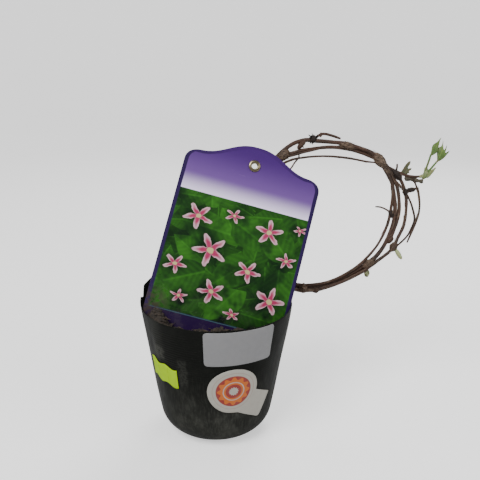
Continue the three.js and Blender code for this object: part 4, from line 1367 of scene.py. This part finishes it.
def knot_strips(chance):
    """Peeling fibres that run over the swollen places, the more the paler those are."""
    lines, steps = [], 7
    for place, along, (long, thick), tone in KNOTS:
        centre, way = in_coil(*place), way_in_coil(along)
        axes = square_to(way)
        for _ in range(int(34 * max(0.15, tone - 0.25))):
            angle, drift = chance.uniform(0, 2 * math.pi), chance.uniform(-0.12, 0.12)
            start, span = chance.uniform(-1.15, 0.3), chance.uniform(0.5, 1.2)
            lift = chance.choice((0.05, 0.1, 0.25, 0.6))
            strip = []
            for k in range(steps + 1):
                t = start + span * k / steps
                skin = thick * max(0.3, 1 - t * t) ** KNOT_BLUNTNESS * 1.03
                away = skin + lift * (k / steps) ** 2
                middle = centre + way * (t * long * KNOT_STRETCH)
                strip.append(middle + swung(axes, angle + drift * k) * away)
            lines.append((strip, strip_widths(steps + 1, 0.22)))
    return lines


def stub_lines(chance):
    """Broken leaf stalks at the nodes."""
    lines = []
    for place, along, (_, thick), tone in KNOTS:
        for k in range(2 if tone > 0.4 else 1):
            way = way_in_coil(along + (90 if k else -90) + chance.uniform(-40, 40))
            way = (way + COIL_FRONT * chance.uniform(-0.8, 0.9)).normalized()
            reach = thick * chance.uniform(1.15, 1.6)
            path = [in_coil(*place) + way * reach * t for t in (0.3, 0.6, 0.85, 1.0)]
            lines.append((path, [0.5, 0.42, 0.34, 0.3]))
    return lines


def tuft_lines(chance):
    """The short blunt spikes of the dry flower stalk."""
    lines = []
    for _ in range(TUFT["spikes"]):
        way = way_in_coil(chance.uniform(-10, 330)) + COIL_FRONT * chance.uniform(-1.1, 1.1)
        way.normalize()
        bend = Vector([chance.uniform(-0.5, 0.5) for _ in range(3)])
        reach = TUFT["radius"] + TUFT["length"] * chance.uniform(0.1, 0.85)
        path = [in_coil(*TUFT["at"]) + way * reach * t + bend * t * t for t in (0.2, 0.5, 0.8, 1.0)]
        lines.append((path, [0.34, 0.3, 0.26, 0.2]))
    return lines


def egg_mesh(centre, way, half_length, half_thickness, ridges, tone=0.5, rings=16, sides=20,
             rough=0.16, blunt=0.5):
    """A ridged, uneven swelling along a direction, closed at both poles.

    A higher `blunt` tapers it more. `tone` goes into an attribute of that name.
    """
    way = way.normalized()
    axes = square_to(way)
    points, bark = [centre - way * half_length], [(0, 0, -half_length)]
    for ring in range(1, rings):
        t = -math.cos(math.pi * ring / rings)
        middle, wide = centre + way * (t * half_length), (1 - t * t) ** blunt * half_thickness
        for i in range(sides):
            angle = 2 * math.pi * i / sides
            bark.append((math.cos(angle), math.sin(angle), t * half_length))
            out = swung(axes, angle)
            lumps = noise.fractal((middle + out * wide) / 1.1, 1, 2, 3)
            uneven = 1 + ridges * math.cos(7 * angle + 2 * t) + rough * lumps
            points.append(middle + out * (wide * uneven))
    points.append(centre + way * half_length)
    bark.append((0, 0, half_length))
    last = len(points) - 1
    top = last - sides
    faces = moved_on(ring_faces(rings - 1, sides), 1)
    faces += [(0, 1 + (i + 1) % sides, 1 + i) for i in range(sides)]
    faces += [(last, top + i, top + (i + 1) % sides) for i in range(sides)]
    return outward(new_mesh("egg", points, faces, tone=[tone] * len(points), bark=bark))


def bark_material(look, name, toned=False, pale=0.0, dark=0.0):
    """Ribbed bark: dark grooves, brown ridges, and pale patches where it peels.

    A toned one reads how dark or pale it is from the attribute "tone". The shares `pale` and
    `dark` set it for the rest.
    """
    place, finish = new_material(name)
    skin = stretched(attribute(place.tree, "bark"), 1.6, 1.6, 0.22)
    if toned:
        skin = skin.vectors("ADD", stretched(place, 260, 260, 260))
    fibres = cloud(skin, 2.6, 5, 0.7, 0.4)
    base = mix(rise(fibres, 0.36, 0.6), look.groove, look.bark)
    slow = rise(cloud(place, 95.0, 3), 0.35, 0.65)
    base = mix(slow * 0.5, base, tinted(look.bark, 1.7, 1.25, 1.1))
    raised = rise(fibres, 0.4, 0.62)
    if dark:
        base = mix(fibres * 0.2 + dark, base, (0.008, 0.006, 0.005))
    if toned:
        tone = attribute(place.tree, "tone", "Fac")
        base = mix(rise(tone, 0.35, 0.0), base, (0.012, 0.0075, 0.0055))
        peeling = rise(tone, 0.45, 1.3) * raised
    else:
        peeling = rise(cloud(place, 150.0, 4, 0.6), 0.6, 0.72) * raised * 0.85 + pale * 0.6
    return finish(mix(peeling, base, look.peel), fibres * 0.25 + 0.55, fibres,
                  depth=0.25, strength=0.85, Specular_IOR_Level=0.25)


def scrap_mesh(centre, along, half_length, half_thickness, k):
    """The k-th layer of a curled and wrinkled dry leaf."""
    way, up = way_in_coil(along), way_in_coil(along + 90)

    def place(x, y, h):
        curl = x / 2.0
        wrinkle = 0.3 * math.sin(2.1 * y + k) * math.cos(1.7 * x)
        bulge = (math.cos(curl) - 0.6) * half_thickness * 0.9 * (-1) ** k
        return (centre + way * (y * half_length / 5)
                + up * (math.sin(curl) * half_thickness * 0.75)
                + COIL_FRONT * (h + bulge + wrinkle * 0.4))

    return sheet("scrap", [softened(SCRAP, step=0.6)], thickness=0.22, spacing=0.6, place=place)


def scrap_material():
    """A dead leaf: nearly black, with grey-brown ridges."""
    place, finish = new_material("dry_leaf")
    crumpled = cloud(place, 900.0, 5, 0.65, 0.6)
    base = mix(rise(crumpled, 0.35, 0.65), (0.013, 0.01, 0.007), (0.08, 0.068, 0.046))
    return finish(base, crumpled * 0.2 + 0.6, crumpled, depth=0.3, strength=0.8,
                  Specular_IOR_Level=0.25)


# ---------------------------------------------------------------- young growth
def leaf_mesh(outline, wide, long, at, spin, tilt, fold, midrib, curl):
    """A young leaf folded along its midrib, with sunk veins and a curled tip."""
    coil = Matrix(((1, 0, 0), COIL_UP, COIL_FRONT)).transposed()
    axes, foot = coil @ (rotation(spin, "Z") @ rotation(tilt, "Y")), in_coil(*at)

    def place(x, y, h):
        across = x - midrib * y
        side = math.sqrt(across * across + 0.04)
        vein = (0.1 * math.exp(-((across / 0.22) ** 2))
                + 0.05 * math.cos(3.4 * (y - 0.9 * abs(across))))
        z = h - fold * side - vein + curl * (y / 10) ** 2 + 0.12 * math.sin(1.1 * y + x)
        return foot + axes @ Vector((x, y, z))

    loop = softened([(x * wide, y * long) for x, y in outline], step=0.45)
    return sheet("leaf", [loop], thickness=0.34, spacing=0.42, place=place)


def green_material(name, low, high, reddish=0.0):
    """Soft young growth: paler to the tip, with light veins, fine down and a little red."""
    around, finish = new_material(name)
    x, y, _ = split(attribute(around.tree, "sheet"))
    base = mix(rise(y, 1, 10), low, high)
    side = abs(x - y * 0.4)
    veins = rise(((y - side * 0.9) * 3.4).math("SINE"), 0.6, 1.0)
    base = mix(rise(side, 0.35, 0.05) * 0.5 + veins * 0.2, base, tinted(high, 1.5))
    base = mix(rise(cloud(around, 420.0, 4), 0.4, 0.7) * 0.4, base, tinted(low, 0.6))
    if reddish:
        flush = rise(cloud(around, 300.0, 3), 0.5, 0.7) * reddish
        base = mix(flush, base, (0.16, 0.05, 0.035))
    fine = grain(Vector=around, Scale=3600.0)
    return finish(base, fine["Mottle"] * 0.15 + 0.5, fine["Height"], depth=0.08, strength=0.5,
                  Subsurface_Weight=0.12, Subsurface_Scale=0.0012, Sheen_Weight=0.08,
                  Sheen_Roughness=0.5, Specular_IOR_Level=0.3)


def soft_egg(height, *shape, **settings):
    """A swelling of young growth, coloured as a leaf is at that height."""
    made = egg_mesh(*shape, **settings)
    store(made, "sheet", [(0, height, 0)] * len(made.vertices))
    return made


def bud_meshes(foot, tip, half_thickness, scales):
    """A closed bud: a core wrapped in pointed scales."""
    way = (tip - foot).normalized()
    half_length = (tip - foot).length / 2
    middle = (tip + foot) / 2
    axes = square_to(way)
    made = [soft_egg(3, middle, way, half_length, half_thickness * 0.93, ridges=0.02, rings=14,
                     sides=16, rough=0.03)]
    for k in range(scales):
        reach = 0.55 + 0.4 * k / max(1, scales - 1)

        def place(x, y, h, k=k, reach=reach):
            t = max(-0.995, min(0.995, -0.93 + y / 10 * 2 * reach))
            wide = math.sqrt(1 - t * t) * half_thickness
            out = swung(axes, k * 2.4 + x / 2.2)
            return middle + way * (t * half_length) + out * (wide * 0.97 + h + 0.02 * k)

        loop = softened(BUD_SCALE, step=0.8)
        made.append(sheet("scale", [loop], thickness=0.1, spacing=0.8, place=place))
    return made


def down_material():
    """Fine pale hairs."""
    place, finish = new_material("down")
    base = mix(cloud(place, 300.0, 2), (0.2, 0.24, 0.11), (0.36, 0.38, 0.24))
    return finish(base, cloud(place, 500.0, 2) * 0.2 + 0.4, Subsurface_Weight=0.2,
                  Subsurface_Scale=0.001)


# ---------------------------------------------------------------- operators
class PLANT_OT_pot(bpy.types.Operator):
    """Dresses the soft nursery pot"""
    bl_idname = "plant.make_pot"
    bl_label = "Nursery pot"

    def execute(self, context):
        look = context.scene.plant_pot
        add_piece("pot_film", pot_mesh(look), "pot_film", [pot_material(look)], ["nursery_pot"],
                  sharp=50)
        return {"FINISHED"}


class PLANT_OT_soil(bpy.types.Operator):
    """Dresses the potting soil with crumbs, chips and fibres"""
    bl_idname = "plant.make_soil"
    bl_label = "Potting soil"

    def execute(self, context):
        look = context.scene.plant_soil
        bed = soil_mesh()
        earth = soil_material(look, "soil", 0.0)
        woody = soil_material(look, "soil_fibre", 1.0)
        chips = look.crumbs * CHIPS_PER_CRUMB
        # Material, shape, number on each square centimetre, sizes, crumble and tilt.
        kinds = {
            "soil_crumbs": (earth, crumb_shape, look.crumbs, 0.35, 1.1, 0.55, 3.1),
            "soil_chips": (woody, chip_shape, chips, 1.2, 3.2, 0.5, 0.35),
            "soil_fibres": (woody, fibre_shape, look.fibres, 2.0, 5.5, 0.9, 0.35),
        }
        reach = wall_radius(SOIL_LEVEL) - 2.2
        for name, (made, shape, density, small, large, crumble, tilt) in kinds.items():
            mesh = grown(name, scatter_tree(name, made, shape, tilt), bed.copy(), {
                "Density": density * 1e4, "Smallest": small * MM, "Largest": large * MM,
                "Reach": (reach - large) * MM, "Crumble": crumble * MM, "Seed": look.seed})
            add_piece(name, mesh, "soil")
        add_piece("soil_bed", bed, "soil", [earth], ["potting_soil"])
        return {"FINISHED"}


class PLANT_OT_tag(bpy.types.Operator):
    """Dresses the picture tag and its eyelet"""
    bl_idname = "plant.make_tag"
    bl_label = "Picture tag"

    def execute(self, context):
        look = context.scene.plant_tag
        turns = np.linspace(0, -2 * math.pi, 33)[:-1]
        hole = [(TAG_HOLE_RADIUS * math.cos(turn), TAG_HOLE + TAG_HOLE_RADIUS * math.sin(turn))
                for turn in turns]

        def bowed(x, y, h):
            return on_tag(x, y, h + 0.12 * math.sin(x / 19 + 0.5) * math.sin(y / 26))

        card = sheet("picture_card", [tag_outline(), hole], TAG_THICKNESS, 4, bowed, front=-0.9)
        add_piece("picture_card", card, "tag_print",
                  [tag_print_material(look), tag_back_material(look)], ["picture_tag"], sharp=20)
        profile = EYELET + [(radius, -height) for radius, height in reversed(EYELET[1:])]
        ring = turned("eyelet_ring", profile, 56, lambda x, y, h: on_tag(x, y + TAG_HOLE, h))
        add_piece("eyelet_ring", outward(ring), "eyelet_metal", [eyelet_material()],
                  ["tag_eyelet"])
        return {"FINISHED"}


class PLANT_OT_labels(bpy.types.Operator):
    """Dresses the three labels on the pot"""
    bl_idname = "plant.make_labels"
    bl_label = "Labels"

    def execute(self, context):
        look = context.scene.plant_labels
        edge = paper_material("label_edge", (0.3, 0.3, 0.29))
        bare = paper_material("name_paper", look.paper, gloss=0.42)
        printed = paper_material("round_paper", look.white, emblem(look), gloss=0.38)
        bright = paper_material("price_paper", look.price, slits, gloss=0.55, soiled=0.02,
                                shine=0.05)
        for name, outline, where, materials in (
                ("name", name_label_outline(), NAME_LABEL, [bare, edge]),
                ("round", round_label_outline(), ROUND_LABEL, [printed, edge]),
                ("price", price_label_outline(), PRICE_LABEL, [bright, bright])):
            add_piece(name + "_paper", label_mesh(name + "_paper", outline, where),
                      name + "_label", materials, [name + "_sticker"])
        return {"FINISHED"}


class PLANT_OT_vine(bpy.types.Operator):
    """Dresses the woody stems with ribbed bark, nodes, loose strips and dry scraps"""
    bl_idname = "plant.make_vine"
    bl_label = "Woody stems"

    def execute(self, context):
        look = context.scene.plant_vine
        chance = random.Random(look.seed)
        stems = stem_lines()

        def grow(name, lines, values, replaces=(), **shade):
            tree = stem_tree(name, bark_material(look, name, **shade))
            mesh = grown(name, tree, lines_mesh(lines), values)
            add_piece(name, mesh, "stem_bark", replaces=replaces)

        grow("stem_bark", stems, {
            "Sides": 14, "Ridges": float(look.ridges), "Ridge depth": look.ridge_depth},
            ["vine_stems"])
        grow("loose_bark", strip_lines(stems, look.strips, chance) + knot_strips(chance), {
            "Sides": 5, "Ridge depth": 0.0, "Flatness": 0.45, "Twist": 0.0, "Roughness": 0.0},
            pale=0.8)
        knots = [egg_mesh(in_coil(*place), way_in_coil(along), long * KNOT_STRETCH, thick,
                          ridges=0.1, tone=tone, rings=22, sides=24, rough=0.3,
                          blunt=KNOT_BLUNTNESS)
                 for place, along, (long, thick), tone in KNOTS]
        knots.append(egg_mesh(in_coil(*TUFT["at"]), COIL_UP, 2.6, 2.2, ridges=0.12, tone=0.0))
        add_piece("stem_nodes", joined("stem_nodes", knots), "stem_bark",
                  [bark_material(look, "node_bark", toned=True)])
        grow("stub_ends", stub_lines(chance), {
            "Sides": 6, "Ridge depth": 0.08, "Roughness": 0.05 * MM}, pale=0.25)
        grow("dry_tuft", tuft_lines(chance), {"Sides": 6, "Ridge depth": 0.1}, dark=0.85)
        scraps = [scrap_mesh(in_coil(*place), along + 13 * (k - 1), long, thick * 1.15, k)
                  for place, along, (long, thick) in DRY_SCRAPS for k in range(3)]
        add_piece("dry_scraps", joined("dry_scraps", scraps), "stem_bark",
                  [scrap_material()] * 2)
        return {"FINISHED"}


class PLANT_OT_growth(bpy.types.Operator):
    """Dresses the green shoot and the buds"""
    bl_idname = "plant.make_growth"
    bl_label = "Young growth"

    def execute(self, context):
        look = context.scene.plant_growth
        meshes = {name: [leaf_mesh(*leaf) for leaf in leaves] for name, leaves in LEAVES.items()}
        base, up = in_coil(22.6, 66.5), way_in_coil(60)
        meshes["young_sheaths"] += [
            soft_egg(2, base, up, 2.6, 1.5, ridges=0.06),
            soft_egg(8, in_coil(23.1, 64.8), way_in_coil(20), 2.4, 1.05, ridges=0.06, rough=0.1),
            *bud_meshes(base + up * -1.5, base + way_in_coil(66) * 5.2, 1.3, scales=4)]
        foot, tip = in_coil(332.4, 47.6, 0.3), in_coil(328, 54.6, 0.9)
        meshes["pale_scales"] = bud_meshes(foot, tip, half_thickness=1.4, scales=5)
        middle, reach = in_coil(301.8, 44.7), way_in_coil(266) * 2.5
        foot, tip = middle - reach, middle + reach
        meshes["olive_scales"] = bud_meshes(foot, tip, half_thickness=1.7, scales=5)

        lines = []
        for route in LEAF_STALKS:
            path = smooth_path([in_coil(*p) for p in route], 0.7)
            lines.append((path, [0.68 - 0.1 * i / len(path) for i in range(len(path))]))
        tree = stem_tree("leaf_stalks", green_material("young_stalk", look.leaf, look.leaf, 0.5))
        stalks = grown("leaf_stalks", tree, lines_mesh(lines), {
            "Sides": 12, "Ridges": 5.0, "Ridge depth": 0.08, "Roughness": 0.02 * MM})

        fading = blended(0.25, look.leaf, look.pale)
        downy = hair_tree("down", down_material())
        # Slot, colours at the foot and the tip, share of red, and the node that is replaced.
        for name, slot, colours, replaces in (
                ("young_leaves", "shoot_green", (look.leaf, look.tip), ["green_shoot"]),
                ("young_sheaths", "shoot_green", (fading, look.pale, 0.1), ()),
                ("leaf_stalks", "shoot_green", None, ()),
                ("bud_leaf", "bud_green", (look.bud, tinted(look.bud, 1.5), 0.2), ["leaf_bud"]),
                ("pale_scales", "bud_pale", (look.pale, tinted(look.pale, 1.15)), ["pale_bud"]),
                ("olive_scales", "bud_green", (look.bud, look.pale, 0.4), ["round_bud"])):
            mesh = joined(name, meshes[name]) if name in meshes else stalks
            skin = mesh.copy()
            materials = [green_material(name, *colours)] * 2 if colours else ()
            add_piece(name, mesh, slot, materials, replaces)
            down = grown(name + "_down", downy, skin, {"Length": look.hair})
            add_piece(name + "_down", down, slot)
        return {"FINISHED"}


class PLANT_OT_stage(bpy.types.Operator):
    """Sets the pale floor, the soft lights and the camera"""
    bl_idname = "plant.make_stage"
    bl_label = "Stage"

    def execute(self, context):
        look, collection = context.scene.plant_stage, context.scene.collection
        mesh = turned("floor", FLOOR, 64, lambda x, y, h: (x, y, h - 0.3), closed=False)
        mesh.flip_normals()
        mesh.shade_smooth()
        place, finish = new_material("floor")
        x, y, _ = split(place)
        far = rise(away_from_middle(x, y), 0.15, 1.9)
        seen = put(place.tree, "ShaderNodeLightPath", out="Is Camera Ray")
        glow = mix(seen, (0, 0, 0), mix(far, (0.75, 0.75, 0.75), (1, 1, 1)))
        tint = mix(cloud(place, 6.0, 3), look.floor, tinted(look.floor, 0.97))
        mesh.materials.append(finish(tint, cloud(place, 9.0, 2) * 0.1 + 0.6,
                                     Emission_Color=glow, Emission_Strength=1.0))
        floor = bpy.data.objects.new("floor", mesh)
        collection.objects.link(floor)
        floor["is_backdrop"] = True

        world = bpy.data.worlds.new("even_light")
        world.use_nodes = True
        sky = world.node_tree.nodes["Background"]
        sky.inputs["Color"].default_value = (1, 1, 1, 1)
        sky.inputs["Strength"].default_value = look.sky
        context.scene.world = world

        for name, (spot, size, power) in LIGHTS.items():
            lamp = bpy.data.lights.new(name, "AREA")
            lamp.energy, lamp.size = look.key * power, size
            lit = bpy.data.objects.new(name, lamp)
            way = Vector(LIT_PLACE) - Vector(spot)
            lit.location, lit.rotation_euler = spot, way.to_track_quat("-Z", "Y").to_euler()
            collection.objects.link(lit)

        eye = bpy.data.cameras.new("camera")
        eye.lens, eye.sensor_width, eye.clip_start = 45, 36, 0.01
        camera = bpy.data.objects.new("camera", eye)
        right, back = (Vector(way).normalized() for way in (CAMERA_RIGHT, CAMERA_BACK))
        axes = Matrix((right, back.cross(right).normalized(), back)).transposed()
        camera.matrix_world = Matrix.LocRotScale(Vector(CAMERA_PLACE), axes, None)
        collection.objects.link(camera)
        context.scene.camera = camera
        return {"FINISHED"}


OPERATORS = (PLANT_OT_stage, PLANT_OT_pot, PLANT_OT_soil, PLANT_OT_tag, PLANT_OT_labels,
             PLANT_OT_vine, PLANT_OT_growth)


class PLANT_PT_panel(bpy.types.Panel):
    bl_idname = "PLANT_PT_panel"
    bl_label = "Potted plant"
    bl_space_type = "VIEW_3D"
    bl_region_type = "UI"
    bl_category = "Potted plant"

    def draw(self, context):
        for operator in OPERATORS:
            self.layout.operator(operator.bl_idname)
        for key, group in SETTINGS.items():
            box = self.layout.box()
            for name in group.__annotations__:
                box.prop(getattr(context.scene, key), name)


CLASSES = (*SETTINGS.values(), *OPERATORS, PLANT_PT_panel)


def register():
    for made in CLASSES:
        bpy.utils.register_class(made)
    for key, group in SETTINGS.items():
        setattr(bpy.types.Scene, key, PointerProperty(type=group))


def unregister():
    for key in SETTINGS:
        delattr(bpy.types.Scene, key)
    for made in reversed(CLASSES):
        bpy.utils.unregister_class(made)


def main():
    register()
    for operator in OPERATORS:
        group, name = operator.bl_idname.split(".")
        getattr(getattr(bpy.ops, group), name)()
    boxes = {"cad": CAD_BOUNDS, "visual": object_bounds()}
    {key: [list(corner) for corner in box] for key, box in boxes.items()}


if __name__ == "__main__":
    main()
